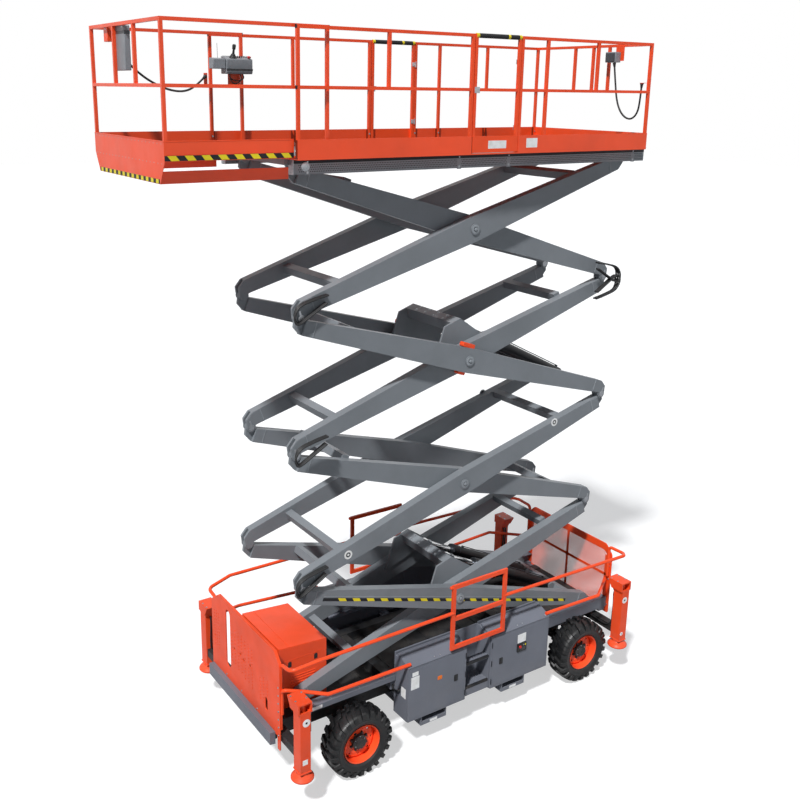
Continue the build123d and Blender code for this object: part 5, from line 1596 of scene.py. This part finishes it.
def make_chassis_fittings():
    """Drive motors, ledge welds and bolts, blank labels, belly pans and the entry frames' knobs."""
    motors, seams = Shape(), Shape()
    for x, way in ((AXLE_X, -1), (REAR_AXLE_X, 1)):
        motors.lathe((x, 0, AXLE_Z + 0.02), (way, 0, 0), [
            (0.12, 0.09), (0.18, 0.09), (0.19, 0.07), (0.34, 0.07), (0.35, 0.055), (0.42, 0.055),
            (0.42, 0)], 32)
        for lane in (-0.03, 0.03):
            motors.hose([(x + way * 0.3, lane, AXLE_Z + 0.08), (x + way * 0.32, lane, AXLE_Z + 0.16),
                         (x + way * 0.4, lane * 2, AXLE_Z + 0.24)], 0.012, 10)
    motors.done("drive_motors", "chassis", "black")
    ledge = HIGH["chassis_tracks"].z
    low_y, high_y = 0.716, HIGH["chassis_tracks"].y
    for x in (1.16, 1.52, 1.9, 2.26):
        seams.block(about(at_x(x), 0.0025), (low_y, high_y - 0.004), (ledge - 0.001, ledge + 0.0016))
    seams.mirror().done("ledge_welds", "chassis", "grey")
    marks = [((at_x(x), (low_y + high_y) / 2 + dy, ledge), FACING["up"]) for x in (1.25, 1.6, 1.98, 2.2)
             for dy in (-0.03, 0.03)]
    at_marks("ledge_bolts", "chassis", bolt(0.009), mirrored_marks(marks), "zinc", "grey_paint")
    label = Shape()
    side_plate(label, 2.17, ledge - 0.036, 0.13, 0.04, high_y, LABEL_THICK, 0.004)
    for x in (0.7, -0.55):
        side_plate(label, x, 0.3225, 0.11, 0.034, HIGH["fork_pockets"].y, LABEL_THICK, 0.003)
    label.mirror().done("chassis_labels", "chassis", "label")
    pans = Shape()
    floor_z, half = LOW["chassis_tracks"].z + 0.003, 0.488
    bays = ((-2.33, -1.08), (-0.92, 0.92), (1.08, 2.48))
    for a, b in bays:
        # a dished plate: flat floor, turned-up rims and pressed ribs across it
        dish = [(-half, floor_z + 0.03), (-half, floor_z), (half, floor_z), (half, floor_z + 0.03),
                (half - 0.004, floor_z + 0.03), (half - 0.004, floor_z + 0.004),
                (-half + 0.004, floor_z + 0.004), (-half + 0.004, floor_z + 0.03)]
        pans.prism(dish, forward, at_x(a), at_x(b))
        ribs = int((b - a) / 0.24)
        for i in range(ribs):
            x = at_x(a) + (i + 0.5) * (b - a) / ribs
            pans.block(about(x, 0.02), about(0, half - 0.06), (floor_z + 0.002, floor_z + 0.011))
    pans.done("belly_pans", "chassis", "black", bevel=0.002)
    places = [at_x(x) for a, b in bays for x in (a + 0.04, (a + b) / 2, b - 0.04)]
    marks = [((x, y, floor_z + 0.004), FACING["up"]) for x in places for y in about(0, half - 0.03)]
    at_marks("belly_pan_bolts", "chassis", bolt(0.009), marks, "zinc", "black_paint")
    knob = Shape()
    x, y, z = at_x(0.49) + 0.005, HIGH["cabinets"].y + 0.02, HIGH["guard_rails"].z - 0.022
    knob.lathe((x, y, z), (1, 0, 0), [
        (0, 0), (0, 0.008), (0.03, 0.008), (0.032, 0.02), (0.044, 0.02), (0.05, 0.012), (0.051, 0)], 24)
    knob.mirror().done("entry_frame_knobs", "chassis", "orange")


# ---- platform
RAIL = 0.032
RAIL_Y = DECK_Y - 0.004 - RAIL / 2
RAIL_IN, RAIL_OUT = RAIL_Y - RAIL / 2, RAIL_Y + RAIL / 2
EXT_RAIL_Y = EXT_Y - RAIL / 2
TOP_Z = HIGH["platform_rails"].z
EXT_TOP = HIGH["extension"].z
MID_Z = DECK + 0.661
EXT_REAR = LOW["extension"].x
CHANNEL_Y = 0.797
FOAM_R = 0.0235
POSTS = (2.437, 0.4, -0.27, -0.637, -2.262)
CLAMPS = (2.25, 0.4, -0.29, -2.262)


def make_rails():
    """End caps, foam sleeves with yellow bands, hinges, latches and foot pins of the guard rails."""
    caps = Shape()
    for x, y, z in ((DECK_FRONT, RAIL_Y, TOP_Z), (DECK_FRONT, RAIL_Y, MID_Z), (EXT_REAR, EXT_RAIL_Y, EXT_TOP),
                    (EXT_REAR, EXT_RAIL_Y, MID_Z)):
        way = 1 if x == DECK_FRONT else -1
        caps.block((x - 0.004 * way, x + 0.003 * way), (y - RAIL / 2 - 0.0008, y + RAIL / 2 + 0.0008),
                   (z - RAIL - 0.0008, z + 0.0008))
    caps.mirror().done("rail_end_caps", "platform", "black_plastic", bevel=0.001)
    hinge_x, latch_x = LOW["left_gate"].x, HIGH["left_gate"].x
    for side, way in SIDES:
        body = f"{side}_gate"
        sleeve, bands, fittings = Shape(), Shape(), Shape()
        x0, x1 = hinge_x + 0.012, latch_x - 0.012
        foam = [(FOAM_R * cos(2 * pi * i / 24) * 1.04, FOAM_R * sin(2 * pi * i / 24)) for i in range(24)]
        middle = TOP_Z - RAIL / 2
        sleeve.prism([(RAIL_Y + a, middle + b) for a, b in foam], forward, x0, x1)
        for a, b in ((x0 - 0.002, x0 + 0.03), (x0 + 0.155, x0 + 0.185), (x1 - 0.03, x1 + 0.002)):
            wide = [(RAIL_Y + c * 1.03, middle + d * 1.02) for c, d in foam]
            bands.prism(wide, forward, a, b)
        for z in (DECK + 0.26, TOP_Z - 0.26):
            fittings.rod((hinge_x - 0.006, RAIL_IN - 0.002, z - 0.034),
                         (hinge_x - 0.006, RAIL_IN - 0.002, z + 0.034), 0.008, 16)
            fittings.block((hinge_x, hinge_x + 0.044), (RAIL_IN - 0.005, RAIL_IN), about(z, 0.024))
        fittings.block((latch_x - 0.07, latch_x - 0.002), (RAIL_OUT - 0.001, RAIL_OUT + 0.003),
                       (MID_Z - 0.05, MID_Z + 0.012))
        fittings.rod((latch_x - 0.04, RAIL_Y - 0.045, MID_Z + 0.006),
                     (latch_x - 0.04, RAIL_Y + 0.014, MID_Z + 0.006), 0.007, 14)
        sleeve.flip(way).done(f"{body}_foam_sleeve", body, "foam", corner=60)
        bands.flip(way).done(f"{body}_foam_bands", body, "yellow", "orange_paint", corner=60)
        fittings.flip(way).done(f"{body}_hinge_leaves", body, "zinc", "orange_paint", bevel=0.0008)
    pin = Shape().lathe(
        (0, 0, 0), (0, 0, 1), [(-0.001, 0.006), (0.009, 0.006), (0.012, 0.004), (0.012, 0)], 14)
    pin.hose([(0.0, 0.002, 0.01), (0.014, 0.004, 0.012), (0.022, 0.012, 0.01), (0.014, 0.024, 0.008),
              (0.0, 0.026, 0.006)], 0.0016, 6, smooth=4)
    heights = (DECK + 0.05, DECK + 0.12)
    beside_gate = POSTS[1:3]
    marks = [((at_x(x), RAIL_IN, z), FACING["right"]) for x in POSTS if x not in beside_gate for z in heights]
    at_marks("post_pins_left", "platform", pin, marks, "zinc", "orange_paint")
    marks = [((at_x(x), -RAIL_IN, z), FACING["left"]) for x in POSTS for z in heights]
    at_marks("post_bolts", "platform", bolt(0.007), marks, "zinc", "orange_paint")
    # supports inside the toe boards, in the halved orange that paints their shade
    feet = Shape()
    for x in POSTS + (1.43, -1.4):
        feet.block(about(at_x(x), 0.03), (RAIL_IN - 0.012, DECK_Y - 0.004), (DECK + 0.0005, DECK + 0.006))
        for dx in (-0.022, 0.022):
            feet.block((at_x(x) + dx - 0.003, at_x(x) + dx + 0.003), (DECK_Y - 0.03, DECK_Y - 0.004),
                       (DECK + 0.005, DECK + 0.172))
    feet.mirror().done("toe_board_supports", "platform", "orange_shade", bevel=0.0008)


def make_channel():
    """The deck's side channels: bands dotted with painted shade for perforations, a black strip of painted
    shade under the toe boards, clamp brackets, end plates and pin ends.
    """
    rear, front = at_x(-2.455), at_x(2.403)
    top = DECK - 0.014
    band, painted_shade_strip, clamps, ends = Shape(), Shape(), Shape(), Shape()
    band.block((rear, front), (CHANNEL_Y, CHANNEL_Y + 0.0015), (top - 0.138, top - 0.044))
    # a black strip along the channel's top: painted shade under the toe board's edge
    painted_shade_strip.block((rear, front), (CHANNEL_Y, CHANNEL_Y + 0.004), (top - 0.043, top - 0.004))
    for x in CLAMPS:
        clamps.block(about(at_x(x), 0.028), (CHANNEL_Y, CHANNEL_Y + 0.003), (top - 0.155, top - 0.002))
        clamps.block(about(at_x(x), 0.028), (CHANNEL_Y, CHANNEL_Y + 0.05), (top - 0.008, top - 0.0005))
    ends.block((front, front + 0.005), (CHANNEL_Y - 0.095, CHANNEL_Y + 0.004), (top - 0.15, top - 0.002))
    pivot_z = BASE_Z + 4 * RISE
    ends.lathe((FRONT_X, CHANNEL_Y - 0.002, pivot_z), (0, 1, 0),
               [(0, 0.046), (0.006, 0.046), (0.008, 0.042), (0.008, 0)], 32)
    for shape, name, finish, bevel in (
            (band, "channel_band", "arm_light", 0), (painted_shade_strip, "channel_flange", "black", 0.001),
            (clamps, "channel_clamps", "arm_light", 0.001), (ends, "channel_ends", "zinc", 0.001)):
        shape.mirror().done(name, "platform", finish, "orange_paint", bevel=bevel)

    # black discs in rows on the band: painted shade for the dark insides of its perforations
    def hole_shade_column(way):
        shape = Shape()
        for row in range(4):
            shape.lathe((0.009 * (row % 2), 0, row * 0.02), (0, way, 0),
                        [(0, 0.0055), (0.0006, 0.0055), (0.0006, 0)], 8)
        return shape

    rows_on_both_sides("channel_holes", "platform", hole_shade_column, int((front - rear - 0.06) / 0.02), (
        rear + 0.03, CHANNEL_Y + 0.0015, top - 0.121), (0.02, 0, 0), "black")
    marks = [((at_x(x), CHANNEL_Y + 0.003, top - z), FACING["left"]) for x in CLAMPS for z in (0.03, 0.13)]
    at_marks("channel_bolts", "platform", bolt(0.009, 0.003), mirrored_marks(marks), "zinc", "orange_paint")


def make_extension_trim():
    """Hazard blocks, edge strips and rivets of the roll-out deck."""
    floor_z = DECK + 0.006
    face = EXT_Y
    x0, x1 = DECK_FRONT + 0.012, EXT_FRONT
    base = Shape().block((x0, x1), (face, face + 0.0006), (floor_z + 0.004, floor_z + 0.05))
    base.mirror()
    base.block((EXT_FRONT + 0.004, EXT_FRONT + 0.0046), about(0, 0.8), (floor_z - 0.198, floor_z - 0.158))
    base.done("extension_hazard_base", "extension", "black", "orange_paint")
    count = 8
    pitch = (x1 - x0) / count
    marks = [((x0 + 0.02 + i * pitch, face + 0.0006, floor_z + 0.027), (0, 0, 0)) for i in range(count)]
    stripes_on_both_sides("extension_stripes", "extension", pitch * 0.5, 0.044, 0.035, marks, "orange_paint")
    count = 13
    unit = Shape().block((0, 0.0006), about(0, 0.031), about(0, 0.019))
    in_row("apron_squares", "extension", unit, count, (EXT_FRONT + 0.0046, -0.8 + 0.062, floor_z - 0.178),
           (0, 1.6 / count, 0), "yellow", "orange_paint")
    strips = Shape().block((x0, x1), (face, face + 0.0016), (floor_z + 0.055, floor_z + 0.06))
    strips.block((x0, x1), (face, face + 0.002), (floor_z + 0.166, floor_z + 0.175))
    strips.mirror()
    strips.block((EXT_FRONT + 0.004, EXT_FRONT + 0.006), (-EXT_Y, EXT_Y), (floor_z + 0.164, floor_z + 0.175))
    strips.done("extension_edges", "extension", "orange", bevel=0.0006)
    rivet = Shape().lathe(
        (0, 0, 0), (0, 0, 1), [(-0.0004, 0.005), (0.0012, 0.0042), (0.002, 0.002), (0.002, 0)], 10)
    marks = [((EXT_FRONT + 0.004, -0.86 + i * 0.0905, z), FACING["front"]) for i in range(20)
             for z in (floor_z + 0.15, floor_z - 0.02)]
    at_marks("apron_rivets", "extension", rivet, marks, "zinc", "orange_paint")


CONTROL_X = (EXT_REAR - 0.04, EXT_REAR + 0.27, EXT_REAR + 0.414)
CONTROL_Y = (LOW["control_boxes"].y, LOW["control_boxes"].y + 0.15)
CONTROL_Z = (MID_Z + 0.114, MID_Z + 0.295)
FLAT_Y, FLAT_Z = (-0.37, -0.02), (LOW["control_boxes"].z, EXT_TOP - 0.03)
SIDE_Y, SIDE_Z = (-0.59, -0.48), (EXT_TOP - 0.16, EXT_TOP - 0.03)


def make_controls():
    """The platform control station and the two boxes inside the front rail."""
    (x0, x1, x2), (y0, y1), (z0, z1) = CONTROL_X, CONTROL_Y, CONTROL_Z
    top = z0 + 0.83 * (z1 - z0)
    case = Shape().prism([(y0, z0), (y1 - 0.012, z0), (y1 - 0.002, z0 + 0.02), (y1 - 0.002, top),
                          (y0 + 0.05, z1), (y0, z1)], forward, x0 + 0.002, x1 - 0.004)
    case.prism([(y0 + 0.015, z0 + 0.05), (y1 - 0.02, z0 + 0.05), (y1 - 0.02, z1 - 0.03),
                (y0 + 0.015, z1 - 0.017)], forward, x1, x2 - 0.002)
    case = case.done("control_station", "extension", "grey_plastic", bevel=0.006)
    dark = Shape()
    slope = atan2(z1 - top, y1 - y0 - 0.052)
    way = Vector((0, sin(slope), cos(slope)))

    def on_top(x, share):
        return Vector((x, y0 + 0.05 + share * (y1 - y0 - 0.052), z1 + share * (top - z1)))

    stick = on_top(x0 + 0.21, 0.5)
    dark.lathe(stick, way, [
        (-0.001, 0.04), (0.006, 0.04), (0.012, 0.032), (0.018, 0.033), (0.026, 0.024), (0.034, 0.025),
        (0.042, 0.014), (0.085, 0.011), (0.09, 0.018), (0.13, 0.02), (0.14, 0.014), (0.142, 0)], 28)
    for i in range(5):
        place = on_top(x0 + 0.045 + i * 0.026, 0.3)
        dark.lathe(place, way, [(-0.001, 0.008), (0.004, 0.008), (0.005, 0.0035), (0.016, 0.003), (0.018, 0)],
                   12)
    dark.block((x0 + 0.03, x1 - 0.02), (y0 - 0.001, y0 + 0.03), (z1 - 0.001, z1 + 0.004))
    dark.block((x0 + 0.001, x1 - 0.003), (y1 - 0.003, y1 + 0.001), (z0 + 0.035, z0 + 0.052))
    dark.rod((x1 + 0.05, y0 + 0.04, z1 - 0.02), (x1 + 0.052, y0 + 0.036, z1 + 0.13), 0.0022, 8)
    dark.done("control_stick_and_switches", "extension", "black_plastic", corner=40)
    stop = Shape()
    place = on_top(x0 + 0.035, 0.75)
    stop.lathe(place, way, [
        (-0.001, 0.012), (0.012, 0.012), (0.013, 0.021), (0.022, 0.021), (0.026, 0.015), (0.027, 0)], 28)
    stop.done("control_stop_button", "extension", "red")
    loops = Shape()
    for lane, drop in ((0.0, 0.07), (0.03, 0.1)):
        loops.hose([(x0 + 0.08 + lane, y0 + 0.06, z0 + 0.003), (x0 + 0.07 + lane, y0 + 0.06, z0 - drop * 0.6),
                    (x0 + 0.13 + lane, y0 + 0.05, z0 - drop), (x0 + 0.21, y0 + 0.045, z0 - drop * 0.7),
                    (x0 + 0.23, y0 + 0.05, z0 + 0.003)], 0.006, 8, smooth=5)
    loops.done("control_lead_loops", "extension", "hose", corner=60)

    inner = EXT_FRONT - RAIL - 0.0003
    flat, flat_trim = Shape(), Shape()
    flat.block((inner - 0.056, inner), FLAT_Y, FLAT_Z)
    flat = flat.done("rail_box", "extension", "grey_plastic", bevel=0.006)
    flat_trim.block((inner - 0.0595, inner - 0.055), inside(FLAT_Y, 0.02), inside(FLAT_Z, 0.03, 0.1))
    flat_trim.block((inner - 0.057, inner + 0.0002), (FLAT_Y[0] - 0.002, FLAT_Y[1] + 0.002),
                    (FLAT_Z[1] - 0.075, FLAT_Z[1] - 0.045))
    flat_trim.done("rail_box_lid", "extension", "dark_plastic", bevel=0.002)
    small = Shape().block((inner - 0.052, inner), SIDE_Y, SIDE_Z)
    small = small.done("rail_side_box", "extension", "orange", "box_plastic", bevel=0.004)
    cover = Shape().block((inner - 0.0595, inner - 0.051), inside(SIDE_Y, 0.012), inside(SIDE_Z, 0.012, 0.03))
    cover.done("rail_side_box_cover", "extension", "grey_plastic", bevel=0.002)
    for piece in (case, flat, small):
        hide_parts("control_boxes")
    hooks = Shape()
    for y in (FLAT_Y[0] + 0.06, FLAT_Y[1] - 0.06, sum(SIDE_Y) / 2):
        hooks.block((inner - 0.004, inner + 0.0005), about(y, 0.012), (EXT_TOP - 0.05, EXT_TOP - 0.002))
    hooks.done("rail_box_hooks", "extension", "zinc", "box_plastic", bevel=0.0008)


def make_rear_box():
    """The outlet box inside the rear rail, its plate, lid, and the clip that holds the cable's end."""
    low, high = LOW["rear_box"], HIGH["rear_box"]
    x = low.x
    carrier, box, lid = Shape(), Shape(), Shape()
    edge = rounded(box_edge(0.43, 0.56, low.z + 0.02, high.z), 0.008, 3)
    carrier.prism(edge, forward, x + 0.0005, x + 0.0055)
    carrier = carrier.done("outlet_plate", "platform", "orange")
    top = low.z + 0.121
    box.block((x + 0.006, x + 0.1), (0.352, 0.513), (low.z + 0.001, top))
    box = box.done("outlet_box", "platform", "grey_plastic", bevel=0.006)
    for piece in (carrier, box):
        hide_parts("rear_box")
    lid.block((x + 0.099, x + 0.1095), (0.362, 0.503), (low.z + 0.012, top - 0.012))
    lid.done("outlet_lid", "platform", "dark_plastic", bevel=0.003)
    clip = Shape()
    tab = at_x(-2.21)
    clip.block((tab - 0.02, tab + 0.016), (0.88, 0.914), (DECK + 0.737, DECK + 0.7448))
    clip.done("cable_clip", "platform", "red", "orange_paint", bevel=0.002)


def make_reliefs():
    """The tapered strain reliefs and collars where the two cables meet their boxes and clips."""
    for name, body, points in (
            ("control_cable", "extension", FRONT_CABLE), ("outlet_cable", "platform", REAR_CABLE)):
        shape = Shape()
        for first, second in ((points[0], points[1]), (points[-1], points[-2])):
            start = Vector(first) + Vector((MID_X, 0, 0))
            way = (Vector(second) - Vector(first)).normalized()
            shape.lathe(start + way * 0.004, way, [
                (0, 0.0105), (0, 0.02), (0.012, 0.02), (0.016, 0.0175), (0.05, 0.0125),
                (0.05, 0.0105)], 24, closed=True)
        shape.done(f"{name}_reliefs", body, "black_plastic")


def make_platform_labels():
    """Blank labels on the left gate's toe board and beside it."""
    middle = (LOW["left_gate"].x + HIGH["left_gate"].x) / 2
    for name, body, x, width, height in (("gate_labels", "left_gate", middle - 0.023, 0.25, 0.082), (
            "toe_board_labels", "platform", at_x(-0.455), 0.16, 0.1)):
        label = Shape()
        a, b = x - width / 2, DECK + 0.046
        edge = rounded(box_edge(a, a + width, b, b + height), 0.005, 3)
        label.prism(edge, across, DECK_Y - 0.0002, DECK_Y + 0.0007)
        label.done(name, body, "label")


class LIFT_OT_finishes(bpy.types.Operator):
    """Mixes the finishes and puts them on the frame's own nodes"""

    bl_idname = "lift.finishes"
    bl_label = "Finishes"

    def execute(self, context):
        make_finishes(shades())
        for node in frame["nodes"]:
            piece = bpy.data.objects[node]
            piece.data.materials.clear()
            piece.data.materials.append(FINISH[finish_of(node)])
        return {"FINISHED"}


class LIFT_OT_stage(bpy.types.Operator):
    """Sets the camera, the lamps, the backdrop and the floor"""

    bl_idname = "lift.stage"
    bl_label = "Stage"

    def execute(self, context):
        context.scene.view_settings.view_transform = "Standard"
        camera()
        backdrop_world(shades().sky)
        lamp("key", "SUN", shades().key, KEY_AT, (0, 0, 0), angle=4)
        lamp("fill", "AREA", FILL_POWER, FILL_AT, FILL_AIM, size=FILL_SIZE)
        floor()
        return {"FINISHED"}


class LIFT_OT_cables(bpy.types.Operator):
    """Hangs the two cables of the platform's control box and rear box"""

    bl_idname = "lift.cables"
    bl_label = "Cables"

    def execute(self, context):
        cable("control_cable", FRONT_CABLE, "extension", "front_cable")
        cable("outlet_cable", REAR_CABLE, "platform", "rear_cable")
        return {"FINISHED"}


class LIFT_OT_tyres(bpy.types.Operator):
    """Builds the four lugged tyres"""

    bl_idname = "lift.tyres"
    bl_label = "Tyres"

    def execute(self, context):
        make_tyres()
        return {"FINISHED"}


class LIFT_OT_wheels(bpy.types.Operator):
    """Builds the rims, hubs, nuts and valves"""

    bl_idname = "lift.wheels"
    bl_label = "Wheels"

    def execute(self, context):
        make_wheels()
        return {"FINISHED"}


class LIFT_OT_arms(bpy.types.Operator):
    """Adds the arms' end plates, seam strips with painted highlights, pins, hose guards, decals and hazard
    bands
    """

    bl_idname = "lift.arms"
    bl_label = "Arms"

    def execute(self, context):
        make_arms()
        make_arm_details()
        hazard_band()
        return {"FINISHED"}


class LIFT_OT_hydraulics(bpy.types.Operator):
    """Adds the hoses along the arms and the lift cylinders' fittings"""

    bl_idname = "lift.hydraulics"
    bl_label = "Hydraulics"

    def execute(self, context):
        make_hoses()
        make_cylinders()
        return {"FINISHED"}


class LIFT_OT_guards(bpy.types.Operator):
    """Builds the nose guard, rear guard, hood trim and bumper trim"""

    bl_idname = "lift.guards"
    bl_label = "Guards"

    def execute(self, context):
        make_front_plate()
        make_rear_panel()
        make_hood()
        make_bumper()
        return {"FINISHED"}


class LIFT_OT_cabinets(bpy.types.Operator):
    """Adds door panels, latches, labels, lids and step treads"""

    bl_idname = "lift.cabinets"
    bl_label = "Cabinets"

    def execute(self, context):
        make_doors()
        make_cabinet_trim()
        make_steps()
        return {"FINISHED"}


class LIFT_OT_chassis(bpy.types.Operator):
    """Adds the outriggers' decals and hoses and the chassis fittings"""

    bl_idname = "lift.chassis"
    bl_label = "Chassis"

    def execute(self, context):
        make_outriggers()
        make_chassis_fittings()
        return {"FINISHED"}


class LIFT_OT_platform(bpy.types.Operator):
    """Adds the platform's rails, channels, roll-out trim and labels"""

    bl_idname = "lift.platform"
    bl_label = "Platform"

    def execute(self, context):
        make_rails()
        make_channel()
        make_extension_trim()
        make_platform_labels()
        return {"FINISHED"}


class LIFT_OT_controls(bpy.types.Operator):
    """Builds the control station, rail boxes, outlet box and cable reliefs"""

    bl_idname = "lift.controls"
    bl_label = "Controls"

    def execute(self, context):
        make_controls()
        make_rear_box()
        make_reliefs()
        return {"FINISHED"}


STEPS = (LIFT_OT_finishes, LIFT_OT_stage, LIFT_OT_cables, LIFT_OT_tyres, LIFT_OT_wheels,
         LIFT_OT_arms, LIFT_OT_hydraulics, LIFT_OT_guards, LIFT_OT_cabinets,
         LIFT_OT_chassis, LIFT_OT_platform, LIFT_OT_controls)


class LIFT_PT_looks(bpy.types.Panel):
    """Sizes, shades and pieces of the scissor lift"""

    bl_idname = "LIFT_PT_looks"
    bl_label = "Scissor lift"
    bl_space_type = "VIEW_3D"
    bl_region_type = "UI"
    bl_category = "Scissor lift"

    def draw(self, context):
        for group in (context.scene.lift_sizes, context.scene.lift_shades):
            column = self.layout.column(align=True)
            for key in group.bl_rna.properties.keys():
                if key not in ("rna_type", "name"):
                    column.prop(group, key)
        column = self.layout.column(align=True)
        for step in STEPS:
            column.operator(step.bl_idname)


CLASSES = (LiftShades, LiftSizes) + STEPS + (LIFT_PT_looks,)


def register():
    for kind in CLASSES:
        bpy.utils.register_class(kind)
    bpy.types.Scene.lift_shades = bpy.props.PointerProperty(type=LiftShades)
    bpy.types.Scene.lift_sizes = bpy.props.PointerProperty(type=LiftSizes)


def unregister():
    del bpy.types.Scene.lift_sizes
    del bpy.types.Scene.lift_shades
    for kind in reversed(CLASSES):
        bpy.utils.unregister_class(kind)


def main():
    register()
    for step in STEPS:
        group, _, name = step.bl_idname.partition(".")
        getattr(getattr(bpy.ops, group), name)()


if __name__ == "__main__":
    main()
